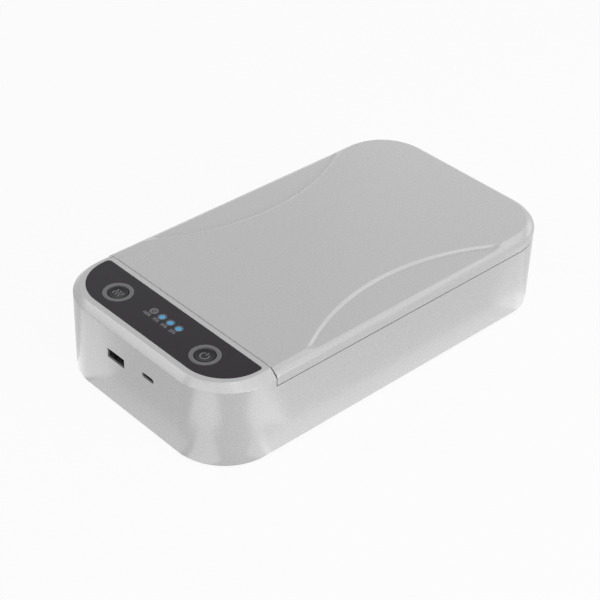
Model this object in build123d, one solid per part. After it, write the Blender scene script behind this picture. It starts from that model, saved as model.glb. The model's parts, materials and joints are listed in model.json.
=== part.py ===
from build123d import *
import os
from math import atan2, degrees, radians, sin, tan

# Ultraviolet box for phones. Millimetres, +Z up. The control panel and the sockets are at the -Y end,
# the lid's hinge at the +Y end. The origin is under the middle of the whole part, on the plane that
# its feet stand on.

# ---- Case ----------------------------------------------------------------------------------------
CASE_LENGTH = 230.0        # front face to rear face
CASE_WIDTH = 125.6
CASE_HEIGHT = 46.7         # underside of the case to the top of the lid
CORNER_R = 28.7            # upright corners, seen from above
CASE_WALL = 2.2
DECK_ROOF = 2.2            # roof of the fixed front deck
DECK_LENGTH = 35.14        # front face to the middle of the seam before the lid
SEAM = 0.4                 # gap all round the lid
LID_DEPTH = 8.3            # top face to the middle of the gap under the lid
RIM_INSET = 3.75           # bevel round the top: how far in
RIM_DROP = 3.25            # and how far down it reaches,
RIM_BREAK_INSET = 1.5      # and where its steep lower face
RIM_BREAK_DROP = 1.2       # meets its flatter upper face

# ---- Clearances ----------------------------------------------------------------------------------
SLIP = 0.2                 # fixed piece in its seat
SNUG = 0.05                # round piece in its hole
RUNNING = 0.06             # lid knuckle on its pin
MOVING = 0.3               # between pieces that move past each other

# ---- Feet and bottom cover -----------------------------------------------------------------------
FOOT_PROUD = 1.3
FOOT_SEAT = 0.8            # depth of the foot's seat in the bottom cover
FOOT_R = 6.0
FOOT_SIDE = 22.0           # case side to the foot's middle
FOOT_END = 30.0            # case end to the foot's middle
COVER_T = 2.2
VENT_COUNT = 7
VENT_LENGTH = 16.0
VENT_WIDTH = 1.6
VENT_PITCH = 4.0
VENT_FRONT = 21.0          # front face to the middle of the vents

# ---- Case screws and bosses ----------------------------------------------------------------------
SCREW_R = 1.3
SCREW_HEAD_R = 2.5
SCREW_HEAD_T = 1.2
SCREW_DRIVE_R = 0.9
SCREW_DRIVE_DEPTH = 0.7
CASE_SCREW_LENGTH = 10.0   # under the head
BOSS_R = 3.4
BOSS_BITE = 0.4            # how far a boss sinks into the wall beside it
BOSS_BEHIND_DECK = 13.0    # seam to the foremost pair of tray bosses

# ---- Chamber tray --------------------------------------------------------------------------------
TRAY_WALL = 1.4
TRAY_FLOOR = 1.6
TRAY_ROOM = 1.3            # tray wall to the nearest boss
FLANGE_T = 1.6
LEDGE_WIDTH = 1.5          # ledge in the case that carries the flange
LEDGE_T = 1.5
CHAMBER_FRONT = 46.0       # front face to the chamber's front end
CHAMBER_FRONT_R = 10.0
TROUGH_LIFT = 4.4          # bottom cover to the underside of the lamp trough
RAIL_WIDTH = 3.0
RAIL_HEIGHT = 3.0
RAIL_END = 3.0             # lamp's end to a rail's end
RAIL_SPREAD = 64.0         # between the two rails
AROMA_R = 9.0              # scent pad
AROMA_BACK = 14.85         # chamber's front end to the pad's middle
AROMA_T = 3.0
AROMA_DEPTH = 5.0
AROMA_COVER_T = 1.0
AROMA_HOLE_R = 0.9
AROMA_HOLE_COUNT = 8
AROMA_HOLE_RING = 5.0

# ---- Lamps ---------------------------------------------------------------------------------------
LAMP_R = 1.75
LAMP_GLASS = 0.4
LAMP_END_ROOM = 3.0        # lamp's end to the end of its trough
HOLDER_LENGTH = 8.0
HOLDER_WIDTH = 9.0
SHEET = 0.4                # reflector sheet
TROUGH_WIDTH = 20.0
TROUGH_DEPTH = 8.0         # below the chamber floor
TROUGH_WALL = 1.6
TROUGH_BACK = 29.7         # chamber's front end to the trough
TROUGH_END = 5.0           # chamber's rear end to the trough
LAMP_RISE = 3.4            # trough floor to the lamp's middle
WINDOW_T = 1.4
WINDOW_LIP = 1.5
COLLAR_T = 3.1             # thick rim round the trough, under the window
REFLECTOR_FOOT = 4.5       # half width of the lower reflector's flat
REFLECTOR_RISE = 4.0

# ---- Lid -----------------------------------------------------------------------------------------
LID_WALL = 2.0
LID_ROOF = 2.4
CRESCENT_DROP = 1.2        # depth of the finger hollows
CRESCENT_NEAR = 39.2       # middle of the lid to a hollow's inner edge
CRESCENT_R = 125.0         # of that edge
CRESCENT_BACK = 8.6        # the hollows' middle behind the middle of the case
CRESCENT_SLANT = 45.0      # slant of their inner wall, degrees
SHOULDER_DROP = 1.6        # top face to the lid's side edge beside a hollow
SHOULDER_HALF = 54.0       # half the length over which that edge stands above the bevel
LINER_T = 1.6
LINER_LIFT = 0.4           # lid's lower edge to the liner's underside
LINER_SCREW_LENGTH = 3.0
LINER_SCREW_R = 1.0
LINER_HEAD_R = 1.9
LINER_HEAD_T = 0.8
LINER_BOSS_R = 2.6
LINER_BOSS_FRONT = 14.0    # seam to the front pair
SLOT_WIDTH = 12.0          # lamp slot in the liner
LID_WINDOW_T = 0.8
LID_WINDOW_LIP = 1.2
UPPER_HOLDER_WIDTH = 16.0
UPPER_REFLECTOR_TOP = 4.0  # half width of its flat top
UPPER_REFLECTOR_FOOT = 2.5 # width of its feet on the liner
GASKET_WIDTH = 2.4
GASKET_SEAT = 0.6
GASKET_MARGIN = 1.2        # chamber edge to the gasket

# ---- Hinge ---------------------------------------------------------------------------------------
KNUCKLE_R = 2.5
HINGE_DROP = 3.0           # middle of the gap under the lid to the hinge axis
HINGE_SPREAD = 52.0        # between the two hinges
LID_KNUCKLE = 12.0
CASE_KNUCKLE = 5.0
PIN_R = 1.0

# ---- Magnets and lid sensor ----------------------------------------------------------------------
MAGNET_R = 3.0
MAGNET_T = 1.8
MAGNET_SIDE = 17.0         # case side to a magnet
MAGNET_BACK = 5.4          # seam to the magnets' middle
SENSOR_WIDTH = 7.0
SENSOR_LENGTH = 4.0
SENSOR_T = 2.2

# ---- Control panel -------------------------------------------------------------------------------
PANEL_MARGIN = 6.25        # case outline to the panel's outline
PANEL_END = 32.1           # front face to the panel's straight rear edge
PANEL_REAR_R = 2.0
PANEL_T = 0.6
PANEL_RECESS = 0.7
BUTTON_SPREAD = 64.2       # between the two buttons
BUTTON_BACK = 18.45        # front face to the buttons' middle
RING_R = 7.7
CAP_R = 5.1
CAP_SINK = 0.3             # deck top to the cap's top
CAP_FLANGE = 1.1           # how far the cap's collar stands out
CAP_FLANGE_T = 0.8
CAP_TRAVEL = 0.5
STEM_R = 2.0
LIGHT_PITCH = 6.04
LIGHT_COUNT = 4
UNLIT_LIGHT = 0            # its place in the row, from the left
LIGHT_BACK = 21.9
LIGHT_R = 1.5
LIGHT_BEZEL_R = 2.25

# ---- Control board, switches and indicator lights ------------------------------------------------
BOARD_T = 1.6
BOARD_WIDTH = 84.0
BOARD_FRONT = 5.0
BOARD_END = 31.0
BOARD_BOSS_R = 2.6
BOARD_BOSS_EDGE = 4.0      # board's edge to a boss
BOARD_SCREW_R = 1.0
BOARD_SCREW_HEAD_R = 2.0
BOARD_SCREW_HEAD_T = 1.3
BOARD_SCREW_LENGTH = 6.0
SWITCH_WIDTH = 6.0
SWITCH_HEIGHT = 3.5
SWITCH_BASE = 0.8
PLUNGER_R = 1.75
PLUNGER_PROUD = 1.5
LED_WIDTH = 3.0
LED_LENGTH = 1.6
LED_HEIGHT = 1.0
CHIP_WIDTH = 7.0
CHIP_T = 1.2
CHIP_SIDE = -18.0
CHIP_BACK = 14.0

# ---- Sockets -------------------------------------------------------------------------------------
USB_A_SIDE = -10.9
USB_A_DROP = 18.2          # top of the lid to the socket's middle
USB_A_WIDTH = 12.5
USB_A_HEIGHT = 5.12
USB_A_LENGTH = 13.9
USB_A_BACK_T = 2.4         # block that closes the socket's rear
USB_A_TONGUE_WIDTH = 11.1
USB_A_TONGUE_T = 1.84
USB_A_TONGUE_LIFT = 0.72   # socket's middle to the tongue's middle
USB_A_TONGUE_SINK = 2.1    # socket's mouth to the tongue's tip
USB_C_SIDE = 13.1
USB_C_DROP = 15.5
USB_C_WIDTH = 8.34
USB_C_HEIGHT = 2.56
USB_C_LENGTH = 7.4
USB_C_BACK_T = 1.6
USB_C_TONGUE_WIDTH = 6.69
USB_C_TONGUE_T = 0.7
USB_C_TONGUE_SINK = 0.6
SOCKET_SHEET = 0.3
PORT_ROOM = 0.1            # round each socket's opening in the front wall

# ---- Lamp inverter -------------------------------------------------------------------------------
INVERTER_WIDTH = 68.0
INVERTER_FRONT = 9.0
INVERTER_END = 35.0
STANDOFF_R = 2.6
STANDOFF_HEIGHT = 4.0
STANDOFF_EDGE = 3.6
CORE_WIDTH = 18.0
CORE_LENGTH = 14.0
CORE_HEIGHT = 10.0
CORE_BAR = 3.0
COIL_OVERHANG = 3.0        # beyond both faces of the core together
CAPACITOR_R = 3.2
CAPACITOR_HEIGHT = 9.0
CAPACITOR_PITCH = 9.0
CAPACITOR_SIDE = -20.0
CONNECTOR_WIDTH = 8.0
CONNECTOR_LENGTH = 5.0
CONNECTOR_HEIGHT = 6.0
CONNECTOR_SIDE = 18.0
CONNECTOR_PITCH = 12.0

# ---- Planes and lines that follow from these sizes -----------------------------------------------
FRONT_Y = -(CASE_LENGTH + KNUCKLE_R) / 2
REAR_Y = FRONT_Y + CASE_LENGTH
MID_Y = (FRONT_Y + REAR_Y) / 2
SIDE_X = CASE_WIDTH / 2
CASE_Z = FOOT_PROUD
TOP_Z = CASE_Z + CASE_HEIGHT
SEAM_Y = FRONT_Y + DECK_LENGTH
DECK_REAR_Y = SEAM_Y - SEAM / 2
LID_FRONT_Y = SEAM_Y + SEAM / 2
PARTING_Z = TOP_Z - LID_DEPTH
BODY_TOP_Z = PARTING_Z - SEAM / 2
LID_BOTTOM_Z = PARTING_Z + SEAM / 2
ROOF_Z = TOP_Z - DECK_ROOF
COVER_TOP_Z = CASE_Z + COVER_T
BEYOND = 5.0               # how far a cutter runs past what it cuts

FLANGE_Z = BODY_TOP_Z - FLANGE_T
TROUGH_Z = COVER_TOP_Z + TROUGH_LIFT + TROUGH_WALL
FLOOR_Z = TROUGH_Z + TROUGH_DEPTH
CHAMBER_MARGIN = CASE_WALL + 2 * BOSS_R - BOSS_BITE + TRAY_ROOM + TRAY_WALL
CHAMBER_FRONT_Y = FRONT_Y + CHAMBER_FRONT
CHAMBER_REAR_Y = REAR_Y - CHAMBER_MARGIN
TROUGH_REAR_Y = CHAMBER_REAR_Y - TROUGH_END
TROUGH_FRONT_Y = CHAMBER_FRONT_Y + TROUGH_BACK
LAMP_LENGTH = TROUGH_REAR_Y - TROUGH_FRONT_Y - 2 * LAMP_END_ROOM
LAMP_MID_Y = (TROUGH_FRONT_Y + TROUGH_REAR_Y) / 2
LOWER_LAMP_Z = TROUGH_Z + LAMP_RISE
AROMA_Y = CHAMBER_FRONT_Y + AROMA_BACK
AROMA_WELL_Z = FLOOR_Z - AROMA_DEPTH

LID_ROOF_Z = TOP_Z - LID_ROOF
LINER_Z = LID_BOTTOM_Z + LINER_LIFT
LINER_TOP_Z = LINER_Z + LINER_T
UPPER_LAMP_Z = LINER_Z + LID_WINDOW_T + SLIP + LAMP_R
HINGE_Z = PARTING_Z - HINGE_DROP
HINGE_SITES = [-HINGE_SPREAD / 2, HINGE_SPREAD / 2]
MAGNET_Y = SEAM_Y + MAGNET_BACK

PANEL_TOP_Z = TOP_Z - PANEL_RECESS + PANEL_T
RECESS_Z = TOP_Z - PANEL_RECESS
CAP_TOP_Z = TOP_Z - CAP_SINK
BUTTON_SITES = {"left": -BUTTON_SPREAD / 2, "right": BUTTON_SPREAD / 2}
BUTTON_Y = FRONT_Y + BUTTON_BACK
LIGHT_Y = FRONT_Y + LIGHT_BACK
LIGHT_SITES = [(place - (LIGHT_COUNT - 1) / 2) * LIGHT_PITCH for place in range(LIGHT_COUNT)]

USB_A_Z = TOP_Z - USB_A_DROP
USB_C_Z = TOP_Z - USB_C_DROP
SOCKET_Y = FRONT_Y + CASE_WALL + PORT_ROOM
BOARD_Z = USB_C_Z + USB_C_HEIGHT / 2 + SOCKET_SHEET
BOARD_TOP_Z = BOARD_Z + BOARD_T
SWITCH_TOP_Z = BOARD_TOP_Z + SWITCH_HEIGHT
PLUNGER_TOP_Z = SWITCH_TOP_Z + PLUNGER_PROUD
INVERTER_Z = COVER_TOP_Z + STANDOFF_HEIGHT
INVERTER_TOP_Z = INVERTER_Z + BOARD_T
INVERTER_MID_Y = FRONT_Y + (INVERTER_FRONT + INVERTER_END) / 2


# ---- Shapes that many pieces share ---------------------------------------------------------------
def block(x, y, z):
    """Box between the two values of each of its three pairs."""
    middle = Pos(sum(x) / 2, sum(y) / 2, sum(z) / 2)
    return middle * Box(x[1] - x[0], y[1] - y[0], z[1] - z[0])


def band(y, z):
    """Box across the whole width of the case and past it."""
    return block((-SIDE_X - BEYOND, SIDE_X + BEYOND), y, z)


def centred(middle, width):
    """Pair of values on both sides of a middle."""
    return (middle - width / 2, middle + width / 2)


def post(x, y, z, radius):
    """Upright cylinder between two heights."""
    return Pos(x, y, sum(z) / 2) * Cylinder(radius, z[1] - z[0])


def rod_y(x, y, z, radius):
    """Cylinder along the case between two values of y."""
    return Pos(x, sum(y) / 2, z) * Rot(90, 0, 0) * Cylinder(radius, y[1] - y[0])


def rod_x(x, y, z, radius):
    """Cylinder across the case between two values of x."""
    return Pos(sum(x) / 2, y, z) * Rot(0, 90, 0) * Cylinder(radius, x[1] - x[0])


def prism(outline, z):
    """Upright prism of a flat outline between two heights."""
    return extrude(Pos(0, 0, z[0]) * outline, amount=z[1] - z[0])


def trapezoid(y, z, low_half, high_half):
    """Bar along the case whose half width changes from its foot to its top."""
    corners = [(-low_half, z[0]), (low_half, z[0]), (high_half, z[1]), (-high_half, z[1])]
    face = Plane.XZ * Polygon(*corners, align=None)
    return extrude(Pos(0, y[1], 0) * face, amount=y[1] - y[0])


def case_outline(inset):
    """Outline of the case from above, drawn in by an inset."""
    shape = RectangleRounded(CASE_WIDTH - 2 * inset, CASE_LENGTH - 2 * inset, CORNER_R - inset)
    return Pos(0, MID_Y) * shape


def outline_behind(inset, y, corner_radius):
    """Case outline cut off in front of a line across it, with rounded front corners."""
    past = Pos(0, y + CASE_LENGTH / 2) * Rectangle(CASE_WIDTH, CASE_LENGTH)
    shape = case_outline(inset) & past
    corners = shape.vertices().group_by(Axis.Y)[0]
    return fillet(corners, corner_radius) if corner_radius else shape


def chamber_outline(outset):
    """Outline of the chamber from above, let out by an outset."""
    return outline_behind(CHAMBER_MARGIN - outset, CHAMBER_FRONT_Y - outset, CHAMBER_FRONT_R + outset)


def panel_outline(outset):
    """Outline of the control panel from above, let out by an outset."""
    end = FRONT_Y + PANEL_END + outset
    before = Pos(0, end - CASE_LENGTH / 2) * Rectangle(CASE_WIDTH, CASE_LENGTH)
    shape = case_outline(PANEL_MARGIN - outset) & before
    return fillet(shape.vertices().group_by(Axis.Y)[-1], PANEL_REAR_R + outset)


def bevel_layer(inset, z, lean):
    """Slice of the case whose sides lean in by a distance from its foot to its top."""
    height = z[1] - z[0]
    foot = Pos(0, 0, z[0]) * case_outline(inset)
    return extrude(foot, amount=height, taper=degrees(atan2(lean, height)))


def rimmed_block(inset, z):
    """Case outline with upright sides and the two faces of the bevel round its top."""
    foot, middle = z[1] - RIM_DROP, z[1] - RIM_BREAK_DROP
    steep = bevel_layer(inset, (foot, middle), RIM_BREAK_INSET)
    flat = bevel_layer(inset + RIM_BREAK_INSET, (middle, z[1]), RIM_INSET - RIM_BREAK_INSET)
    return prism(case_outline(inset), (z[0], foot)) + steep + flat


def screw(x, y, seat_z, shank_r, shank_length, head_r, head_t, up):
    """Screw with its head on a seat and its shank going up or down from there."""
    way = 1 if up else -1
    shank = post(x, y, sorted((seat_z, seat_z + way * shank_length)), shank_r)
    head = post(x, y, sorted((seat_z, seat_z - way * head_t)), head_r)
    drive_depth = min(SCREW_DRIVE_DEPTH, head_t / 2)
    face_z = seat_z - way * head_t
    drive = post(x, y, sorted((face_z, face_z + way * drive_depth)), min(SCREW_DRIVE_R, head_r / 2))
    return shank + head - drive


def mirrored(x, y):
    """The same place on both sides of the case."""
    return [(-x, y), (x, y)]


# ---- Places of bosses, screws and feet -----------------------------------------------------------
def corner_boss(rear):
    """Boss places in the front or rear corners, where they meet the wall."""
    reach = (CORNER_R - CASE_WALL - BOSS_R + BOSS_BITE) * sin(radians(45))
    x = SIDE_X - CORNER_R + reach
    return mirrored(x, REAR_Y - CORNER_R + reach if rear else FRONT_Y + CORNER_R - reach)


def side_boss(y):
    """Boss places against the two long walls."""
    return mirrored(SIDE_X - CASE_WALL - BOSS_R + BOSS_BITE, y)


def cover_screw_sites():
    return corner_boss(False) + side_boss(MID_Y) + corner_boss(True)


def tray_screw_sites():
    return side_boss(SEAM_Y + BOSS_BEHIND_DECK) + corner_boss(True)


def foot_sites():
    x = SIDE_X - FOOT_SIDE
    return mirrored(x, FRONT_Y + FOOT_END) + mirrored(x, REAR_Y - FOOT_END)


def liner_screw_sites():
    x = SIDE_X - CHAMBER_MARGIN + GASKET_MARGIN + GASKET_WIDTH + LINER_HEAD_R + 2 * SLIP
    front, rear = SEAM_Y + LINER_BOSS_FRONT, REAR_Y - CORNER_R
    return mirrored(x, front) + mirrored(x, (front + rear) / 2) + mirrored(x, rear)


def board_screw_sites():
    x = BOARD_WIDTH / 2 - BOARD_BOSS_EDGE
    front, end = FRONT_Y + BOARD_FRONT + BOARD_BOSS_EDGE, FRONT_Y + BOARD_END - BOARD_BOSS_EDGE
    return mirrored(x, front) + mirrored(x, end)


def inverter_screw_sites():
    x = INVERTER_WIDTH / 2 - STANDOFF_EDGE
    front, end = FRONT_Y + INVERTER_FRONT + STANDOFF_EDGE, FRONT_Y + INVERTER_END - STANDOFF_EDGE
    return mirrored(x, front) + mirrored(x, end)


# ---- Lower case ----------------------------------------------------------------------------------
def hinge_notches():
    """Space that the lid's knuckles and webs need in the rear wall of the case."""
    low = HINGE_Z - KNUCKLE_R - MOVING
    y, z = (REAR_Y - KNUCKLE_R - MOVING, REAR_Y + BEYOND), (low, BODY_TOP_Z + BEYOND)
    return [block(centred(x, LID_KNUCKLE + 2 * MOVING), y, z) for x in HINGE_SITES]


def body_shell():
    lower = prism(case_outline(0), (CASE_Z, BODY_TOP_Z))
    deck_space = band((FRONT_Y - BEYOND, DECK_REAR_Y), (CASE_Z, TOP_Z + BEYOND))
    shell = lower + (rimmed_block(0, (CASE_Z, TOP_Z)) & deck_space)

    wall_y = (DECK_REAR_Y - CASE_WALL, DECK_REAR_Y)
    ledge_z = FLANGE_Z - LEDGE_T
    deck_wall = band(wall_y, (ledge_z, TOP_Z))
    shell -= prism(case_outline(CASE_WALL), (CASE_Z, BODY_TOP_Z)) - deck_wall
    under_deck = band((FRONT_Y, wall_y[0]), (CASE_Z, TOP_Z))
    shell -= rimmed_block(CASE_WALL, (CASE_Z, ROOF_Z)) & under_deck

    ledge = case_outline(CASE_WALL - SNUG) - case_outline(CASE_WALL + LEDGE_WIDTH)
    shell += prism(ledge, (ledge_z, FLANGE_Z)) & band((DECK_REAR_Y - SNUG, REAR_Y), (ledge_z, FLANGE_Z))

    for x, y in sorted(set(cover_screw_sites() + tray_screw_sites())):
        shell += post(x, y, (COVER_TOP_Z, FLANGE_Z), BOSS_R)
    for x, y in cover_screw_sites():
        shell -= post(x, y, (COVER_TOP_Z, COVER_TOP_Z + CASE_SCREW_LENGTH), SCREW_R + SNUG)
    for x, y in tray_screw_sites():
        shell -= post(x, y, (FLANGE_Z - CASE_SCREW_LENGTH, FLANGE_Z), SCREW_R + SNUG)
    for x, y in board_screw_sites():
        shell += post(x, y, (BOARD_TOP_Z, ROOF_Z + SNUG), BOARD_BOSS_R)
        shell -= post(x, y, (BOARD_TOP_Z, BOARD_TOP_Z + BOARD_SCREW_LENGTH), BOARD_SCREW_R + SNUG)

    shell -= prism(panel_outline(SLIP / 2), (RECESS_Z, TOP_Z + BEYOND))
    for x in BUTTON_SITES.values():
        shell -= post(x, BUTTON_Y, (ROOF_Z - BEYOND, TOP_Z), CAP_R + MOVING)
    for x in LIGHT_SITES:
        shell -= post(x, LIGHT_Y, (ROOF_Z - BEYOND, TOP_Z), LIGHT_R + SNUG)
    return with_case_knuckles(shell - usb_a_port() - usb_c_port())


def usb_a_port():
    """Opening for the USB-A plug in the front wall."""
    x = centred(USB_A_SIDE, USB_A_WIDTH + PORT_ROOM)
    z = centred(USB_A_Z, USB_A_HEIGHT + PORT_ROOM)
    return block(x, (FRONT_Y - BEYOND, FRONT_Y + CASE_WALL + SNUG), z)


def usb_c_port():
    """Round-ended opening for the USB-C plug in the front wall."""
    slot = SlotOverall(USB_C_WIDTH + PORT_ROOM, USB_C_HEIGHT + PORT_ROOM)
    face = Pos(USB_C_SIDE, FRONT_Y + CASE_WALL + SNUG, USB_C_Z) * (Plane.XZ * slot)
    return extrude(face, amount=CASE_WALL + BEYOND)


def with_case_knuckles(shell):
    """Adds the case's half of each hinge: notched wall, two knuckles and their bores."""
    for notch in hinge_notches():
        shell -= notch
    inner = LID_KNUCKLE / 2 + MOVING
    for x in HINGE_SITES:
        for side in (-1, 1):
            span = sorted((x + side * inner, x + side * (inner + CASE_KNUCKLE)))
            shell += rod_x(span, REAR_Y, HINGE_Z, KNUCKLE_R)
        full = inner + CASE_KNUCKLE
        shell -= rod_x((x - full, x + full), REAR_Y, HINGE_Z, PIN_R + SNUG / 2)
    return shell


def hinge_pins():
    half = LID_KNUCKLE / 2 + MOVING + CASE_KNUCKLE
    return [rod_x((x - half, x + half), REAR_Y, HINGE_Z, PIN_R) for x in HINGE_SITES]


# ---- Bottom cover --------------------------------------------------------------------------------
def bottom_cover():
    cover = prism(case_outline(CASE_WALL + SLIP), (CASE_Z, COVER_TOP_Z))
    for x, y in inverter_screw_sites():
        cover += post(x, y, (COVER_TOP_Z - SNUG, INVERTER_Z), STANDOFF_R)
        cover -= post(x, y, (INVERTER_Z - STANDOFF_HEIGHT, INVERTER_Z), BOARD_SCREW_R + SNUG)
    for x, y in cover_screw_sites():
        cover -= post(x, y, (CASE_Z, COVER_TOP_Z), SCREW_R + SLIP)
        cover -= post(x, y, (CASE_Z, CASE_Z + SCREW_HEAD_T + SNUG), SCREW_HEAD_R + SLIP)
    for x, y in foot_sites():
        cover -= post(x, y, (CASE_Z, CASE_Z + FOOT_SEAT), FOOT_R + SNUG)
    for place in range(VENT_COUNT):
        x = (place - (VENT_COUNT - 1) / 2) * VENT_PITCH
        vent = Pos(x, FRONT_Y + VENT_FRONT) * SlotOverall(VENT_LENGTH, VENT_WIDTH, rotation=90)
        cover -= prism(vent, (CASE_Z, COVER_TOP_Z))
    return cover


def case_screws(sites, seat_z, length, up):
    """Screws of the one size that holds the case's main pieces together."""
    return [screw(x, y, seat_z, SCREW_R, length, SCREW_HEAD_R, SCREW_HEAD_T, up) for x, y in sites]


def bottom_screws():
    seat = CASE_Z + SCREW_HEAD_T + SNUG
    return case_screws(cover_screw_sites(), seat, CASE_SCREW_LENGTH, up=True)


def rubber_feet():
    return [post(x, y, (0, CASE_Z + FOOT_SEAT), FOOT_R) for x, y in foot_sites()]


# ---- Chamber tray --------------------------------------------------------------------------------
def chamber_tray():
    """Liner that the phone lies in: flange, walls, floor, lamp trough and scent well."""
    flange = prism(outline_behind(CASE_WALL + SLIP, DECK_REAR_Y + SLIP, 0), (FLANGE_Z, BODY_TOP_Z))
    tub = prism(chamber_outline(TRAY_WALL), (FLOOR_Z - TRAY_FLOOR, FLANGE_Z + SNUG))
    tray = flange + tub

    trough_y = (TROUGH_FRONT_Y, TROUGH_REAR_Y)
    outer_y = (TROUGH_FRONT_Y - TROUGH_WALL, TROUGH_REAR_Y + TROUGH_WALL)
    collar_y = (outer_y[0] - WINDOW_LIP, outer_y[1] + WINDOW_LIP)
    outer_width = TROUGH_WIDTH + 2 * TROUGH_WALL
    tray += block(centred(0, outer_width), outer_y, (TROUGH_Z - TROUGH_WALL, FLOOR_Z))
    collar_width = outer_width + 2 * WINDOW_LIP
    tray += block(centred(0, collar_width), collar_y, (FLOOR_Z - COLLAR_T, FLOOR_Z))
    tray += post(0, AROMA_Y, (AROMA_WELL_Z - TRAY_FLOOR, FLOOR_Z), AROMA_R + SLIP + TRAY_WALL)

    tray -= prism(chamber_outline(0), (FLOOR_Z, BODY_TOP_Z))
    tray -= block(centred(0, TROUGH_WIDTH), trough_y, (TROUGH_Z, FLOOR_Z))
    tray -= lower_window_block(SLIP / 2)
    tray -= post(0, AROMA_Y, (AROMA_WELL_Z, FLOOR_Z), AROMA_R + SLIP)
    tray -= post(0, AROMA_Y, (FLOOR_Z - AROMA_COVER_T, FLOOR_Z), AROMA_R + SLIP + TRAY_WALL / 2)
    for x, y in tray_screw_sites():
        tray -= post(x, y, (FLANGE_Z, BODY_TOP_Z), SCREW_R + SLIP)
        tray -= post(x, y, (BODY_TOP_Z - SCREW_HEAD_T, BODY_TOP_Z), SCREW_HEAD_R + SLIP)
    for notch in hinge_notches():
        tray -= notch
    return tray


def tray_screws():
    seat = BODY_TOP_Z - SCREW_HEAD_T
    return case_screws(tray_screw_sites(), seat, CASE_SCREW_LENGTH - SCREW_HEAD_T, up=False)


def phone_rest_rails():
    y = centred(LAMP_MID_Y, LAMP_LENGTH - 2 * RAIL_END)
    z = (FLOOR_Z, FLOOR_Z + RAIL_HEIGHT)
    return [block(centred(side * RAIL_SPREAD / 2, RAIL_WIDTH), y, z) for side in (-1, 1)]


def aroma_pad():
    return post(0, AROMA_Y, (AROMA_WELL_Z, AROMA_WELL_Z + AROMA_T), AROMA_R)


def aroma_cover():
    z = (FLOOR_Z - AROMA_COVER_T, FLOOR_Z)
    cover = post(0, AROMA_Y, z, AROMA_R + TRAY_WALL / 2)
    cover -= post(0, AROMA_Y, z, AROMA_HOLE_R)
    for place in PolarLocations(AROMA_HOLE_RING, AROMA_HOLE_COUNT):
        cover -= post(place.position.X, AROMA_Y + place.position.Y, z, AROMA_HOLE_R)
    return cover


# ---- Lower lamp ----------------------------------------------------------------------------------
def lamp_tube(z):
    """Sealed glass tube along the case, hollow inside."""
    glass = rod_y(0, centred(LAMP_MID_Y, LAMP_LENGTH), z, LAMP_R)
    return glass - rod_y(0, centred(LAMP_MID_Y, LAMP_LENGTH - 2 * LAMP_R), z, LAMP_R - LAMP_GLASS)


def holder_spans():
    """The stretches of y at both ends of the trough that the lamp holders fill."""
    front = (TROUGH_FRONT_Y, TROUGH_FRONT_Y + HOLDER_LENGTH)
    rear = (TROUGH_REAR_Y - HOLDER_LENGTH, TROUGH_REAR_Y)
    return [front, rear]


def reflector_span():
    return (TROUGH_FRONT_Y + HOLDER_LENGTH + SLIP, TROUGH_REAR_Y - HOLDER_LENGTH - SLIP)


def lamp_bore(z):
    """Space of the lamp in its holders."""
    return rod_y(0, centred(LAMP_MID_Y, LAMP_LENGTH + 2 * SNUG), z, LAMP_R + SNUG)


def lower_lamp_holders():
    z = (TROUGH_Z, FLOOR_Z - WINDOW_T - SLIP)
    bore = lamp_bore(LOWER_LAMP_Z)
    return [block(centred(0, HOLDER_WIDTH), y, z) - bore for y in holder_spans()]


def lower_lamp_reflector():
    """Bent sheet on the trough floor, open upwards."""
    y, z = reflector_span(), (TROUGH_Z, TROUGH_Z + REFLECTOR_RISE)
    lip = TROUGH_WIDTH / 2 - SLIP
    outer = trapezoid(y, z, REFLECTOR_FOOT, lip)
    return outer - trapezoid(y, (z[0] + SHEET, z[1] + SHEET), REFLECTOR_FOOT, lip)


def lower_window_block(outset):
    """The lower lamp's window, let out by an outset to make its seat."""
    width = TROUGH_WIDTH + 2 * WINDOW_LIP + 2 * outset
    y = (TROUGH_FRONT_Y - WINDOW_LIP - outset, TROUGH_REAR_Y + WINDOW_LIP + outset)
    return block(centred(0, width), y, (FLOOR_Z - WINDOW_T, FLOOR_Z))


# ---- Lid -----------------------------------------------------------------------------------------
def crescent_cuts():
    """Cutters of the two finger hollows: an arc inside, a slanted wall along it."""
    near = CRESCENT_NEAR + CRESCENT_R
    y = MID_Y + CRESCENT_BACK
    floor_z = TOP_Z - CRESCENT_DROP
    slant_run = CRESCENT_DROP * tan(radians(CRESCENT_SLANT))
    cuts = []
    for side in (-1, 1):
        disc = Pos(side * near, y, floor_z) * Circle(CRESCENT_R - slant_run)
        cuts.append(extrude(disc, amount=CRESCENT_DROP + SNUG, taper=-CRESCENT_SLANT))
    return cuts


def side_shoulders():
    """Fuller side edge beside the hollows: an arch over the bevel that fades into it at both ends."""
    rise = RIM_DROP - SHOULDER_DROP
    radius = (SHOULDER_HALF**2 + rise**2) / (2 * rise)
    y = MID_Y + CRESCENT_BACK
    arch = rod_x((-SIDE_X, SIDE_X), y, TOP_Z - SHOULDER_DROP - radius, radius)
    over_bevel = prism(case_outline(0), (TOP_Z - RIM_DROP - BEYOND / 2, TOP_Z))
    return arch & over_bevel & band((y - SHOULDER_HALF, y + SHOULDER_HALF), (0, TOP_Z))


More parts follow.
